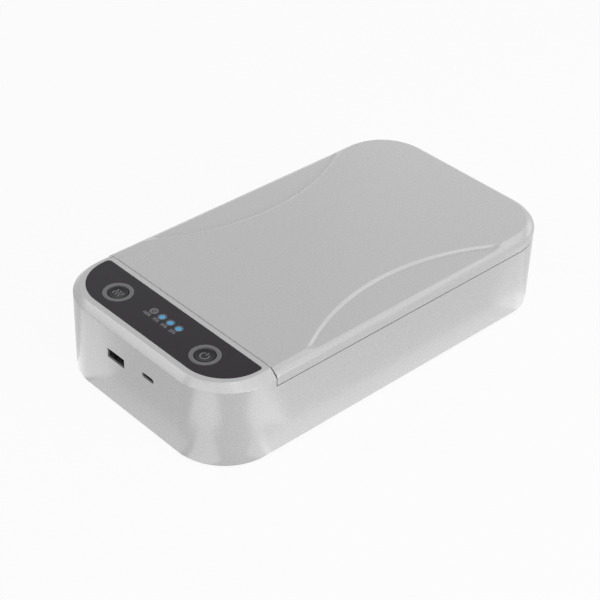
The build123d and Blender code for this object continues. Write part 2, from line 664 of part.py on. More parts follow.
def lid_shell():
    behind = band((LID_FRONT_Y, REAR_Y + BEYOND), (0, TOP_Z + BEYOND))
    lid = (rimmed_block(0, (LID_BOTTOM_Z, TOP_Z)) + side_shoulders()) & behind
    for cut in crescent_cuts():
        lid -= cut
    inside = band((LID_FRONT_Y + LID_WALL, REAR_Y), (LID_BOTTOM_Z - SNUG, LID_ROOF_Z))
    lid -= rimmed_block(LID_WALL, (LID_BOTTOM_Z - SNUG, LID_ROOF_Z)) & inside
    for x, y in liner_screw_sites():
        lid += post(x, y, (LINER_TOP_Z, LID_ROOF_Z + SNUG), LINER_BOSS_R)
        lid -= post(x, y, (LINER_TOP_Z, LINER_TOP_Z + LINER_SCREW_LENGTH), LINER_SCREW_R + SNUG)
    web_y, web_z = (REAR_Y - LID_WALL, REAR_Y), (HINGE_Z, LID_BOTTOM_Z + SNUG)
    for x in HINGE_SITES:
        span = centred(x, LID_KNUCKLE)
        lid += block(span, web_y, web_z) + rod_x(span, REAR_Y, HINGE_Z, KNUCKLE_R)
        lid -= rod_x(span, REAR_Y, HINGE_Z, PIN_R + RUNNING)
    return lid


def liner_slot_y():
    """Stretch of y of the lamp slot in the lid's liner."""
    return centred(LAMP_MID_Y, LAMP_LENGTH + 2 * LAMP_END_ROOM)


def lid_liner():
    """Plate that closes the lid from below, with the lamp slot and the gasket's groove."""
    outline = outline_behind(LID_WALL + SLIP, LID_FRONT_Y + LID_WALL + SLIP, 0)
    liner = prism(outline, (LINER_Z, LINER_TOP_Z))
    liner -= block(centred(0, SLOT_WIDTH), liner_slot_y(), (LINER_Z, LINER_TOP_Z))
    liner -= upper_window_block(SLIP / 2)
    liner -= prism(gasket_outline(SNUG), (LINER_Z, LINER_Z + GASKET_SEAT))
    for x, y in liner_screw_sites():
        liner -= post(x, y, (LINER_Z, LINER_TOP_Z), LINER_SCREW_R + SLIP)
        liner -= post(x, y, (LINER_Z, LINER_Z + LINER_HEAD_T), LINER_HEAD_R + SLIP)
    return liner


def lid_liner_screws():
    seat = LINER_Z + LINER_HEAD_T
    reach = LINER_T - LINER_HEAD_T + LINER_SCREW_LENGTH - SLIP
    sites = liner_screw_sites()
    return [screw(x, y, seat, LINER_SCREW_R, reach, LINER_HEAD_R, LINER_HEAD_T, True) for x, y in sites]


def gasket_outline(outset):
    """Band round the chamber's mouth."""
    inner = GASKET_MARGIN - outset
    return chamber_outline(GASKET_MARGIN + GASKET_WIDTH + outset) - chamber_outline(inner)


def lid_gasket():
    return prism(gasket_outline(0), (BODY_TOP_Z + MOVING, LINER_Z + GASKET_SEAT))


# ---- Upper lamp ----------------------------------------------------------------------------------
def upper_window_block(outset):
    """The upper lamp's window, let out by an outset to make its seat."""
    width = SLOT_WIDTH + 2 * LID_WINDOW_LIP + 2 * outset
    slot = liner_slot_y()
    y = (slot[0] - LID_WINDOW_LIP - outset, slot[1] + LID_WINDOW_LIP + outset)
    return block(centred(0, width), y, (LINER_Z, LINER_Z + LID_WINDOW_T))


def upper_lamp_holders():
    """Bridges over the ends of the slot, with a tongue down into it."""
    bore = lamp_bore(UPPER_LAMP_Z)
    holders = []
    for y in holder_spans():
        bridge = block(centred(0, UPPER_HOLDER_WIDTH), y, (LINER_TOP_Z, LID_ROOF_Z - SNUG))
        tongue_y = (y[0] + SLIP, y[1] - SLIP)
        tongue_z = (LINER_Z + LID_WINDOW_T, LINER_TOP_Z + SNUG)
        tongue = block(centred(0, SLOT_WIDTH - 2 * SLIP), tongue_y, tongue_z)
        holders.append(bridge + tongue - bore)
    return holders


def upper_lamp_reflector():
    """Bent sheet over the slot, open downwards, on two feet."""
    y, z = reflector_span(), (LINER_TOP_Z, LID_ROOF_Z - SNUG)
    low = SLOT_WIDTH / 2 + SHEET
    outer = trapezoid(y, z, low, UPPER_REFLECTOR_TOP)
    feet = block(centred(0, 2 * (low + UPPER_REFLECTOR_FOOT)), y, (z[0], z[0] + SHEET))
    return outer + feet - trapezoid(y, (z[0] - SHEET, z[1] - SHEET), low, UPPER_REFLECTOR_TOP)


# ---- Magnets and lid sensor ----------------------------------------------------------------------
def lid_magnets():
    z = (LINER_TOP_Z, LINER_TOP_Z + MAGNET_T)
    return [post(x, y, z, MAGNET_R) for x, y in mirrored(SIDE_X - MAGNET_SIDE, MAGNET_Y)]


def tray_magnets():
    z = (FLANGE_Z - MAGNET_T, FLANGE_Z)
    return [post(x, y, z, MAGNET_R) for x, y in mirrored(SIDE_X - MAGNET_SIDE, MAGNET_Y)]


def sensor_magnet():
    return post(0, MAGNET_Y, (LINER_TOP_Z, LINER_TOP_Z + MAGNET_T), MAGNET_R)


def lid_sensor():
    y = centred(MAGNET_Y, SENSOR_LENGTH)
    return block(centred(0, SENSOR_WIDTH), y, (FLANGE_Z - SENSOR_T, FLANGE_Z))


# ---- Control panel -------------------------------------------------------------------------------
def control_panel():
    panel = prism(panel_outline(0), (RECESS_Z, PANEL_TOP_Z))
    for x in BUTTON_SITES.values():
        panel -= post(x, BUTTON_Y, (RECESS_Z, PANEL_TOP_Z), RING_R + SNUG)
    for x in LIGHT_SITES:
        panel -= post(x, LIGHT_Y, (RECESS_Z, PANEL_TOP_Z), LIGHT_BEZEL_R + SNUG)
    return panel


def pipe(x, y, z, outer_r, inner_r):
    """Upright ring between two heights."""
    return post(x, y, z, outer_r) - post(x, y, z, inner_r)


def button_rings():
    z = (RECESS_Z, TOP_Z)
    return [pipe(x, BUTTON_Y, z, RING_R, CAP_R + MOVING) for x in BUTTON_SITES.values()]


def button_cap(x):
    """Cap with the collar that keeps it in the deck and the stem that works the switch."""
    collar_top = ROOF_Z - MOVING
    collar_z = (collar_top - CAP_FLANGE_T, collar_top)
    cap = post(x, BUTTON_Y, (collar_z[0], CAP_TOP_Z), CAP_R)
    collar = post(x, BUTTON_Y, collar_z, CAP_R + CAP_FLANGE)
    stem = post(x, BUTTON_Y, (PLUNGER_TOP_Z, collar_z[0]), STEM_R)
    return cap + collar + stem


def switch_plunger(x):
    low = BOARD_TOP_Z + SWITCH_BASE + CAP_TRAVEL + MOVING
    return post(x, BUTTON_Y, (low, PLUNGER_TOP_Z), PLUNGER_R)


def switch_housing(x):
    y, z = centred(BUTTON_Y, SWITCH_WIDTH), (BOARD_TOP_Z, SWITCH_TOP_Z)
    well = post(x, BUTTON_Y, (BOARD_TOP_Z + SWITCH_BASE, SWITCH_TOP_Z), PLUNGER_R + MOVING / 2)
    return block(centred(x, SWITCH_WIDTH), y, z) - well


def switch_housings():
    return [switch_housing(x) for x in BUTTON_SITES.values()]


def led_bezels():
    z = (RECESS_Z, TOP_Z)
    return [pipe(x, LIGHT_Y, z, LIGHT_BEZEL_R, LIGHT_R + SNUG) for x in LIGHT_SITES]


def light_guide(x):
    """Clear rod from just above an indicator light to the panel's face."""
    return post(x, LIGHT_Y, (BOARD_TOP_Z + LED_HEIGHT + SLIP, PANEL_TOP_Z), LIGHT_R)


def lit_light_guides():
    return [light_guide(x) for place, x in enumerate(LIGHT_SITES) if place != UNLIT_LIGHT]


def unlit_light_guide():
    return light_guide(LIGHT_SITES[UNLIT_LIGHT])


# ---- Control board -------------------------------------------------------------------------------
def control_board():
    y = (FRONT_Y + BOARD_FRONT, FRONT_Y + BOARD_END)
    board = block(centred(0, BOARD_WIDTH), y, (BOARD_Z, BOARD_TOP_Z))
    for x, y in board_screw_sites():
        board -= post(x, y, (BOARD_Z, BOARD_TOP_Z), BOARD_SCREW_R + SLIP)
    return board


def board_screws():
    sites, reach = board_screw_sites(), BOARD_T + BOARD_SCREW_LENGTH - SLIP
    head_r, head_t = BOARD_SCREW_HEAD_R, BOARD_SCREW_HEAD_T
    return [screw(x, y, BOARD_Z, BOARD_SCREW_R, reach, head_r, head_t, True) for x, y in sites]


def status_leds():
    z = (BOARD_TOP_Z, BOARD_TOP_Z + LED_HEIGHT)
    return [block(centred(x, LED_WIDTH), centred(LIGHT_Y, LED_LENGTH), z) for x in LIGHT_SITES]


def controller_chip():
    x, y = centred(CHIP_SIDE, CHIP_WIDTH), centred(FRONT_Y + CHIP_BACK, CHIP_WIDTH)
    return block(x, y, (BOARD_TOP_Z, BOARD_TOP_Z + CHIP_T))


# ---- Sockets -------------------------------------------------------------------------------------
def usb_a_shell():
    """Open-mouthed metal sleeve."""
    width, height = USB_A_WIDTH + 2 * SOCKET_SHEET, USB_A_HEIGHT + 2 * SOCKET_SHEET
    y = (SOCKET_Y, SOCKET_Y + USB_A_LENGTH)
    sleeve = block(centred(USB_A_SIDE, width), y, centred(USB_A_Z, height))
    return sleeve - block(centred(USB_A_SIDE, USB_A_WIDTH), y, centred(USB_A_Z, USB_A_HEIGHT))


def usb_a_tongue():
    """Plastic block with the contact tongue, and the riser between the sleeve and the board."""
    end = SOCKET_Y + USB_A_LENGTH
    back = (end - USB_A_BACK_T, end)
    tongue_y = (SOCKET_Y + USB_A_TONGUE_SINK, end - USB_A_BACK_T + SNUG)
    plug = block(centred(USB_A_SIDE, USB_A_WIDTH), back, centred(USB_A_Z, USB_A_HEIGHT))
    tongue_z = centred(USB_A_Z + USB_A_TONGUE_LIFT, USB_A_TONGUE_T)
    plug += block(centred(USB_A_SIDE, USB_A_TONGUE_WIDTH), tongue_y, tongue_z)
    return plug


def usb_a_riser():
    """Block that carries the sleeve under the board."""
    top = USB_A_Z + USB_A_HEIGHT / 2 + SOCKET_SHEET
    y = (FRONT_Y + BOARD_FRONT, SOCKET_Y + USB_A_LENGTH)
    return block(centred(USB_A_SIDE, USB_A_WIDTH), y, (top, BOARD_Z))


def usb_c_body(width, height, y):
    """Bar with round sides along the socket's axis."""
    face = Pos(USB_C_SIDE, y[1], USB_C_Z) * (Plane.XZ * SlotOverall(width, height))
    return extrude(face, amount=y[1] - y[0])


def usb_c_shell():
    y = (SOCKET_Y, SOCKET_Y + USB_C_LENGTH)
    sleeve = usb_c_body(USB_C_WIDTH + 2 * SOCKET_SHEET, USB_C_HEIGHT + 2 * SOCKET_SHEET, y)
    return sleeve - usb_c_body(USB_C_WIDTH, USB_C_HEIGHT, y)


def usb_c_tongue():
    end = SOCKET_Y + USB_C_LENGTH
    back = usb_c_body(USB_C_WIDTH - SNUG, USB_C_HEIGHT - SNUG, (end - USB_C_BACK_T, end))
    tongue_y = (SOCKET_Y + USB_C_TONGUE_SINK, end - USB_C_BACK_T + SNUG)
    tongue = block(centred(USB_C_SIDE, USB_C_TONGUE_WIDTH), tongue_y, centred(USB_C_Z, USB_C_TONGUE_T))
    return back + tongue


# ---- Lamp inverter -------------------------------------------------------------------------------
def inverter_board():
    y = (FRONT_Y + INVERTER_FRONT, FRONT_Y + INVERTER_END)
    board = block(centred(0, INVERTER_WIDTH), y, (INVERTER_Z, INVERTER_TOP_Z))
    for x, y in inverter_screw_sites():
        board -= post(x, y, (INVERTER_Z, INVERTER_TOP_Z), BOARD_SCREW_R + SLIP)
    return board


def inverter_screws():
    sites, reach = inverter_screw_sites(), BOARD_T + STANDOFF_HEIGHT - SLIP
    head_r, head_t = BOARD_SCREW_HEAD_R, BOARD_SCREW_HEAD_T
    return [screw(x, y, INVERTER_TOP_Z, BOARD_SCREW_R, reach, head_r, head_t, False) for x, y in sites]


def transformer_core():
    """Ferrite frame round the coil."""
    x, y = centred(0, CORE_WIDTH), centred(INVERTER_MID_Y, CORE_LENGTH)
    z = (INVERTER_TOP_Z, INVERTER_TOP_Z + CORE_HEIGHT)
    frame = block(x, y, z)
    return frame - block((x[0] + CORE_BAR, x[1] - CORE_BAR), y, (z[0] + CORE_BAR, z[1] - CORE_BAR))


def transformer_coil():
    """Round-sided winding that fills the core's window and stands out at both ends."""
    slot = SlotOverall(CORE_WIDTH - 2 * CORE_BAR, CORE_HEIGHT - 2 * CORE_BAR)
    y = centred(INVERTER_MID_Y, CORE_LENGTH + COIL_OVERHANG)
    face = Pos(0, y[1], INVERTER_TOP_Z + CORE_HEIGHT / 2) * (Plane.XZ * slot)
    return extrude(face, amount=y[1] - y[0])


def inverter_capacitors():
    z = (INVERTER_TOP_Z, INVERTER_TOP_Z + CAPACITOR_HEIGHT)
    sites = centred(INVERTER_MID_Y, CAPACITOR_PITCH)
    return [post(CAPACITOR_SIDE, y, z, CAPACITOR_R) for y in sites]


def lamp_connectors():
    z = (INVERTER_TOP_Z, INVERTER_TOP_Z + CONNECTOR_HEIGHT)
    x = centred(CONNECTOR_SIDE, CONNECTOR_WIDTH)
    sites = centred(INVERTER_MID_Y, CONNECTOR_PITCH)
    return [block(x, centred(y, CONNECTOR_LENGTH), z) for y in sites]


# ---- The nodes -----------------------------------------------------------------------------------
def lower_lamp_window():
    return lower_window_block(0)


def upper_lamp_window():
    return upper_window_block(0)


def nodes():
    """Every piece under its own name; a list is a group of alike solids."""
    pieces = [
        body_shell, bottom_cover, bottom_screws, rubber_feet,
        chamber_tray, tray_screws, phone_rest_rails, aroma_pad, aroma_cover,
        lower_lamp_holders, lower_lamp_reflector, lower_lamp_window,
        lid_shell, lid_liner, lid_liner_screws, lid_gasket, hinge_pins,
        upper_lamp_holders, upper_lamp_reflector, upper_lamp_window,
        lid_magnets, tray_magnets, sensor_magnet, lid_sensor,
        control_panel, button_rings, switch_housings,
        led_bezels, lit_light_guides, unlit_light_guide,
        control_board, board_screws, status_leds, controller_chip,
        usb_a_shell, usb_a_tongue, usb_a_riser, usb_c_shell, usb_c_tongue,
        inverter_board, inverter_screws, inverter_capacitors, lamp_connectors,
        transformer_core, transformer_coil,
    ]
    made = {piece.__name__: piece() for piece in pieces}
    made["lower_lamp_tube"] = lamp_tube(LOWER_LAMP_Z)
    made["upper_lamp_tube"] = lamp_tube(UPPER_LAMP_Z)
    for side, x in BUTTON_SITES.items():
        made[f"{side}_button_cap"] = button_cap(x)
        made[f"{side}_switch_plunger"] = switch_plunger(x)
    return made


os.makedirs("parts", exist_ok=True)
for name, shape in nodes().items():
    group = Compound(children=shape) if isinstance(shape, list) else shape
    export_step(group, f"parts/{name}.step")
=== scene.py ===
"""Dressed model of an ultraviolet box for phones.

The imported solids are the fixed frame: x across the box, y along it with the control deck at -y and
the lid's hinge at +y, z up from the plane of the feet. Sizes in this file are millimetres.
"""

import json
import logging
import math
from dataclasses import dataclass, field
from enum import Enum
from functools import cache
from typing import Any, Iterable, Sequence

import bmesh
import bpy
from mathutils import Matrix, Vector


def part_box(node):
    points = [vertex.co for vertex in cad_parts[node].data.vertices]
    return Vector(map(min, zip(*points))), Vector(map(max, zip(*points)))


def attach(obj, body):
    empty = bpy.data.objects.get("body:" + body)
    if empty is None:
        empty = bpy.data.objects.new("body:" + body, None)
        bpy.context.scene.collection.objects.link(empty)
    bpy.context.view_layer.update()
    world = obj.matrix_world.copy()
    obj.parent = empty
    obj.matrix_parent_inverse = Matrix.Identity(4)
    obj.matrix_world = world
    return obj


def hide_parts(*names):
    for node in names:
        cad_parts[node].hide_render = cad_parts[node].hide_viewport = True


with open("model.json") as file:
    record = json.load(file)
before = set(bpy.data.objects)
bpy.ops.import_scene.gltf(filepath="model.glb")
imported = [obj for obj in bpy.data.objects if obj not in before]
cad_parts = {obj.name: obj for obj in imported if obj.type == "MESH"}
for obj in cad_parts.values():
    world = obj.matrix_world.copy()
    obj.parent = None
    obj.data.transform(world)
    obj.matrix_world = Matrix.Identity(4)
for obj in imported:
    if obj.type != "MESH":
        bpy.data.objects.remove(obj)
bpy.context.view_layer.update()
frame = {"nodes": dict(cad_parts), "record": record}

LOG = logging.getLogger("phone_box")
MM = 0.001

Pair = tuple[float, float]
Table = tuple[tuple[Any, ...], ...]
Piece = bpy.types.Object
Tree = bpy.types.NodeTree
Socket = bpy.types.NodeSocket
Material = bpy.types.Material

# How far a cutting body reaches past what it cuts, and how far ink sinks into what carries it.
PAST = 1.0
SINK = 0.002
# Share of a soft edge's width at which its middle point stands.
EASE = 0.3
# Steps in the round corners of the large outlines.
CORNER_STEPS = 24
# Least angle of a hard edge on the outer shells, in degrees.
SHELL_ANGLE = 40.0


# ---- Node trees ----------------------------------------------------------------------------------
def add_node(
    tree: Tree,
    kind: str,
    settings: dict[Any, Any] | None = None,
    links: dict[Any, Socket] | None = None,
) -> bpy.types.Node:
    """Adds a node to a tree.

    Args:
        tree: Tree that gets the node.
        kind: Identifier of the node's type.
        settings: Values of the node's properties and inputs, by name or input number.
        links: Outputs that feed the node's inputs, by input name or number.

    Returns:
        The new node.
    """
    node = tree.nodes.new(kind)
    for key, value in (settings or {}).items():
        if isinstance(key, str) and hasattr(node, key):
            setattr(node, key, value)
        else:
            node.inputs[key].default_value = value
    for key, source in (links or {}).items():
        tree.links.new(source, node.inputs[key])
    return node


def linear(hex_colour: str) -> tuple[float, float, float, float]:
    """Turns an sRGB hex colour to linear values, by that standard's own curve.

    Args:
        hex_colour: Six hex digits.

    Returns:
        Linear red, green and blue, and an alpha of 1.
    """
    parts = [int(hex_colour[place:place + 2], 16) / 255 for place in (0, 2, 4)]
    values = [v / 12.92 if v <= 0.04045 else ((v + 0.055) / 1.055) ** 2.4 for v in parts]
    return (*values, 1.0)


# ---- Finishes ------------------------------------------------------------------------------------
class Grain(Enum):
    """How a surface's fine relief was made."""

    ORANGE_PEEL = "sprayed paint that has levelled out"
    SPARK = "moulded against a spark-eroded tool"
    BRUSHED = "drawn or rolled in one direction"
    FIBRE = "pressed fibres"
    SPECKLE = "fine pits of a plain moulding"


# Octaves of each grain's noise, and how far the noise of fibres is twisted.
GRAIN_DETAIL = {Grain.ORANGE_PEEL: 1.0, Grain.SPARK: 3.0, Grain.BRUSHED: 2.0, Grain.FIBRE: 6.0,
                Grain.SPECKLE: 2.0}
FIBRE_TWIST = 2.5
# Values between which most of a noise pattern lies.
NOISE_RANGE = {"From Min": 0.3, "From Max": 0.7}
# Numbers of a colour mix's two inputs and its output.
MIX_A, MIX_B, MIX_OUT = 6, 7, 2


@dataclass(frozen=True)
class Finish:
    """Surface of one real material."""

    name: str
    colour: str
    shade: str
    roughness: float
    grain: Grain
    grain_mm: float
    relief_mm: float
    metallic: float = 0.0
    ior: float = 1.5
    transmission: float = 0.0
    glow: float = 0.0
    spread: float = 0.05
    along: tuple[float, float, float] = (1.0, 1.0, 1.0)

    @cache
    def material(self) -> Material:
        """Builds the material once and gives it back after that.

        Returns:
            The material under the finish's name.
        """
        material = bpy.data.materials.new(self.name)
        material.use_nodes = True
        tree = material.node_tree
        tree.nodes.clear()
        shader = add_node(tree, "ShaderNodeBsdfPrincipled", {
            "Metallic": self.metallic,
            "Transmission Weight": self.transmission,
            "Emission Strength": self.glow,
        })
        if self.glow:
            shader.inputs["Emission Color"].default_value = linear(self.colour)
        if not self.metallic:
            shader.inputs["IOR"].default_value = self.ior
        pattern = self.pattern(tree)
        tint = add_node(tree, "ShaderNodeMix", {
            "data_type": "RGBA", MIX_A: linear(self.colour), MIX_B: linear(self.shade),
        }, {0: pattern})
        gloss = add_node(tree, "ShaderNodeMapRange", {
            **NOISE_RANGE,
            "To Min": self.roughness - self.spread, "To Max": self.roughness + self.spread,
        }, {"Value": pattern})
        bump = add_node(tree, "ShaderNodeBump", {
            "Strength": 1.0, "Distance": self.relief_mm * MM,
        }, {"Height": pattern})
        tree.links.new(tint.outputs[MIX_OUT], shader.inputs["Base Color"])
        tree.links.new(gloss.outputs[0], shader.inputs["Roughness"])
        tree.links.new(bump.outputs[0], shader.inputs["Normal"])
        add_node(tree, "ShaderNodeOutputMaterial", links={"Surface": shader.outputs[0]})
        return material

    def pattern(self, tree: Tree) -> Socket:
        """Adds the nodes of the fine relief.

        Args:
            tree: The material's tree.

        Returns:
            The output with the relief's height from 0 to 1.
        """
        place = add_node(tree, "ShaderNodeTexCoord")
        scaled = add_node(tree, "ShaderNodeMapping", {"Scale": self.along},
                          {"Vector": place.outputs["Object"]})
        noise = add_node(tree, "ShaderNodeTexNoise", {
            "Scale": 1 / (self.grain_mm * MM),
            "Detail": GRAIN_DETAIL[self.grain],
            "Distortion": FIBRE_TWIST if self.grain is Grain.FIBRE else 0.0,
        }, {"Vector": scaled.outputs[0]})
        return noise.outputs[0]


class Finishes(Enum):
    """Every finish of the box."""

    # Satin silver-gray paint over moulded ABS: a soft wide sheen that follows the rounded edges.
    PAINT = Finish("silver_painted_abs", "C4C4C5", "BEBEBF", 0.26, Grain.ORANGE_PEEL, 0.9, 0.002,
                   metallic=0.35, spread=0.02)
    # Unpainted ABS from a spark-eroded tool: dull, with a fine even grain.
    COVER = Finish("spark_textured_abs", "A9A9AB", "9C9C9E", 0.62, Grain.SPARK, 0.7, 0.03)
    # White ABS of the parts inside: smooth, slightly dull.
    LINER = Finish("white_moulded_abs", "D9D9D8", "D2D2D2", 0.45, Grain.SPARK, 0.8, 0.012)
    # Acrylic overlay with an anti-glare coat, whose low index keeps it dark: nearly black, softly bright.
    PANEL = Finish("hard_coated_acrylic", "130B14", "110A12", 0.30, Grain.SPECKLE, 0.8, 0.001,
                   ior=1.33, spread=0.02)
    # Gray ABS trim rings: satin.
    RING = Finish("gray_satin_abs", "69676B", "646266", 0.42, Grain.SPARK, 0.4, 0.004)
    # Dark ABS button caps with a matt coat of low index: they return little light.
    CAP = Finish("dark_satin_abs", "0F0E10", "0D0C0E", 0.42, Grain.SPARK, 0.4, 0.004, ior=1.33)
    # Screen-printed gray ink: flat and matt.
    INK = Finish("gray_screen_ink", "7E7C82", "76747A", 0.60, Grain.SPECKLE, 0.3, 0.002)
    # Clear acrylic rod with a blue light under it.
    LIT = Finish("lit_blue_acrylic", "4CACDA", "3A92C6", 0.25, Grain.SPECKLE, 0.6, 0.004,
                 ior=1.49, glow=0.10)
    # Smoked acrylic rod with no light under it.
    UNLIT = Finish("smoked_acrylic", "5A4E54", "4E4449", 0.25, Grain.SPECKLE, 0.6, 0.004, ior=1.49)
    # Moulded silicone rubber: black, dull, faintly grained.
    RUBBER = Finish("silicone_rubber", "2B2B2C", "232324", 0.70, Grain.SPARK, 0.5, 0.02, ior=1.43)
    # Pressed wool felt: no gloss, short fibres.
    FELT = Finish("pressed_felt", "D8D3C6", "BDB7A8", 0.95, Grain.FIBRE, 0.6, 0.25)
    # Drawn quartz: clear, with the faint waves of drawing.
    QUARTZ = Finish("drawn_quartz", "F4F8FB", "ECF4FA", 0.05, Grain.BRUSHED, 3.0, 0.004,
                    ior=1.46, transmission=0.92, spread=0.02, along=(1.0, 0.1, 1.0))
    # Bright rolled aluminium sheet: clear reflections drawn out along the rolling.
    SHEET = Finish("rolled_aluminium", "E2E4E6", "D4D6D8", 0.18, Grain.BRUSHED, 0.3, 0.004,
                   metallic=1.0, along=(1.0, 0.06, 1.0))
    # Zinc-plated steel screws: gray, softly bright.
    ZINC = Finish("zinc_plated_steel", "B9BABD", "A4A5A8", 0.34, Grain.SPECKLE, 0.3, 0.004,
                  metallic=1.0)
    # Ground steel rod of the hinge pins: bright, ground round its length.
    GROUND = Finish("ground_steel", "C4C4C6", "B4B4B6", 0.25, Grain.BRUSHED, 0.2, 0.002,
                    metallic=1.0, along=(1.0, 0.1, 0.1))
    # Nickel-plated steel sheet of the sockets: warm gray, bright.
    NICKEL = Finish("nickel_plated_sheet", "BDBAB5", "ABA8A3", 0.28, Grain.BRUSHED, 0.25, 0.002,
                    metallic=1.0, along=(0.1, 1.0, 1.0))
    # Black moulded plastic of the sockets, sensors and small parts.
    BLACK = Finish("black_moulded_plastic", "1B1B1C", "161617", 0.50, Grain.SPECKLE, 0.5, 0.006)
    # Natural nylon: milky white, slightly waxy.
    NYLON = Finish("natural_nylon", "DAD8D0", "D0CEC6", 0.48, Grain.SPECKLE, 0.5, 0.006, ior=1.53)
    # Epoxy board under green solder mask: smooth and glossy.
    BOARD = Finish("green_solder_mask", "1F5B33", "1A4E2B", 0.28, Grain.BRUSHED, 0.5, 0.006,
                   ior=1.55, along=(1.0, 0.2, 1.0))
    # Varnished copper wire, wound tight: warm and bright across the turns.
    COPPER = Finish("varnished_copper", "B8683C", "96502C", 0.32, Grain.BRUSHED, 0.3, 0.03,
                    metallic=1.0, along=(0.1, 1.0, 0.1))

    @property
    def material(self) -> Material:
        """The finish's material."""
        return self.value.material()


# ---- Objects and meshes --------------------------------------------------------------------------
def new_object(name: str, data: bpy.types.ID) -> Piece:
    """Links an object for a mesh, text, lamp or camera into the scene.

    Args:
        name: Name of the object.
        data: What it holds.

    Returns:
        The object, at the origin.
    """
    made = bpy.data.objects.new(name, data)
    bpy.context.scene.collection.objects.link(made)
    return made


def result_mesh(piece: Piece) -> bpy.types.Mesh:
    """Mesh of a piece as its modifiers or its text make it."""
    graph = bpy.context.evaluated_depsgraph_get()
    return bpy.data.meshes.new_from_object(piece.evaluated_get(graph), depsgraph=graph)


def keep_result(piece: Piece) -> None:
    """Turns a piece with its modifiers into a plain mesh.

    Args:
        piece: Object whose modifiers are applied and removed.
    """
    result = result_mesh(piece)
    piece.modifiers.clear()
    old, piece.data = piece.data, result
    result.name = piece.name
    bpy.data.meshes.remove(old)


def drop(piece: Piece) -> None:
    """Removes a helper object with its mesh.

    Args:
        piece: The helper.
    """
    mesh = piece.data
    bpy.data.objects.remove(piece)
    bpy.data.meshes.remove(mesh)


class Way(Enum):
    """How a second body changes the first."""

    ADDED = "UNION"
    CUT_OUT = "DIFFERENCE"


def combine(piece: Piece, others: Iterable[Piece], way: Way = Way.CUT_OUT) -> None:
    """Cuts closed bodies out of a piece, or adds them to it, and removes them.

    Args:
        piece: Closed body that is kept.
        others: Closed bodies that change it.
        way: How they change it.
    """
    for other in others:
        joined = piece.modifiers.new("joined", "BOOLEAN")
        joined.operation, joined.solver, joined.object = way.value, "EXACT", other
        keep_result(piece)
        drop(other)


def smooth(piece: Piece, angle: float = 35.0) -> None:
    """Shades a piece smooth except at edges sharper than an angle.

    Args:
        piece: Object that is shaded.
        angle: Least angle of a hard edge, in degrees.
    """
    mesh = piece.data
    mesh.polygons.foreach_set("use_smooth", [True] * len(mesh.polygons))
    mesh.set_sharp_from_angle(angle=math.radians(angle))
    weighted = piece.modifiers.new("normals", "WEIGHTED_NORMAL")
    weighted.keep_sharp = True
    keep_result(piece)


def dress(
    piece: Piece,
    finish: Finishes,
    body: str,
    replaces: Sequence[str] = (),
) -> None:
    """Gives a finished piece its finish and body, hides the nodes that it stands for, and reports it.

    Args:
        piece: The finished object.
        finish: Its finish.
        body: Body that it moves with.
        replaces: Solids that it stands for.
    """
    piece.data.materials.clear()
    piece.data.materials.append(finish.material)
    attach(piece, body)
    if replaces:
        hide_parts(*replaces)
    LOG.info("%s: %s, on the %s", piece.name, finish.value.name, body.replace("_", " "))


@dataclass
class Draft:
    """Mesh that is put together from rings of points."""

    name: str
    mesh: bmesh.types.BMesh = field(default_factory=bmesh.new)

    def ring(self, points: Iterable[Sequence[float]]) -> list[bmesh.types.BMVert]:
        """Adds points, in millimetres, and gives back their vertices."""
        return [self.mesh.verts.new([value * MM for value in point]) for point in points]

    def join(self, low: list, high: list, closed: bool = True) -> None:
        """Joins two rings of the same length with a strip of faces.

        Args:
            low: First ring.
            high: Second ring.
            closed: Whether the last point joins the first.
        """
        count = len(low) if closed else len(low) - 1
        for place in range(count):
            after = (place + 1) % len(low)
            corners = [low[place], low[after], high[after], high[place]]
            distinct = list(dict.fromkeys(corners))
            if len(distinct) > 2:
                self.mesh.faces.new(distinct)

    def join_all(self, rows: Sequence[list], closed: bool = True) -> None:
        """Joins rings or open rows of points, each to the next."""
        for before, after in zip(rows, rows[1:]):
            self.join(before, after, closed)

    def face(self, corners: list) -> None:
        """Adds one flat face."""
        self.mesh.faces.new(corners)

    def skin(self, rings: Sequence[list]) -> None:
        """Joins rings of points, each to the next, and closes both ends.

        Args:
            rings: The rings, from one end to the other.
        """
        self.join_all(rings)
        self.face(rings[0][::-1])
        self.face(rings[-1])

    def object(self) -> Piece:
        """Turns the draft into an object whose faces point outwards.

        Returns:
            The object.
        """
        bmesh.ops.recalc_face_normals(self.mesh, faces=self.mesh.faces)
        mesh = bpy.data.meshes.new(self.name)
        self.mesh.to_mesh(mesh)
        self.mesh.free()
        return new_object(self.name, mesh)


def spread(start: float, end: float, pitch: float) -> list[float]:
    """Even steps, of the pitch at most, from one value to another, both included."""
    count = max(1, math.ceil(abs(end - start) / pitch))
    return [start + (end - start) * place / count for place in range(count + 1)]


def rounded_rectangle(x: Pair, y: Pair, radii: Sequence[float], steps: int) -> list[Pair]:
    """Outline of a rectangle with its own radius at each corner.

    Args:
        x: Least and greatest x.
        y: Least and greatest y.
        radii: Radii of the front right, rear right, rear left and front left corners.
        steps: Steps in each corner.

    Returns:
        Points of the outline, anticlockwise from the front right corner.
    """
    signs = [(1, -1), (1, 1), (-1, 1), (-1, -1)]
    points = []
    for turn, ((sign_x, sign_y), radius) in enumerate(zip(signs, radii)):
        middle_x = (x[1] - radius) if sign_x > 0 else (x[0] + radius)
        middle_y = (y[1] - radius) if sign_y > 0 else (y[0] + radius)
        for step in range(steps + 1):
            angle = math.radians(-90 + 90 * turn + 90 * step / steps)
            points.append((middle_x + radius * math.cos(angle), middle_y + radius * math.sin(angle)))
    return points


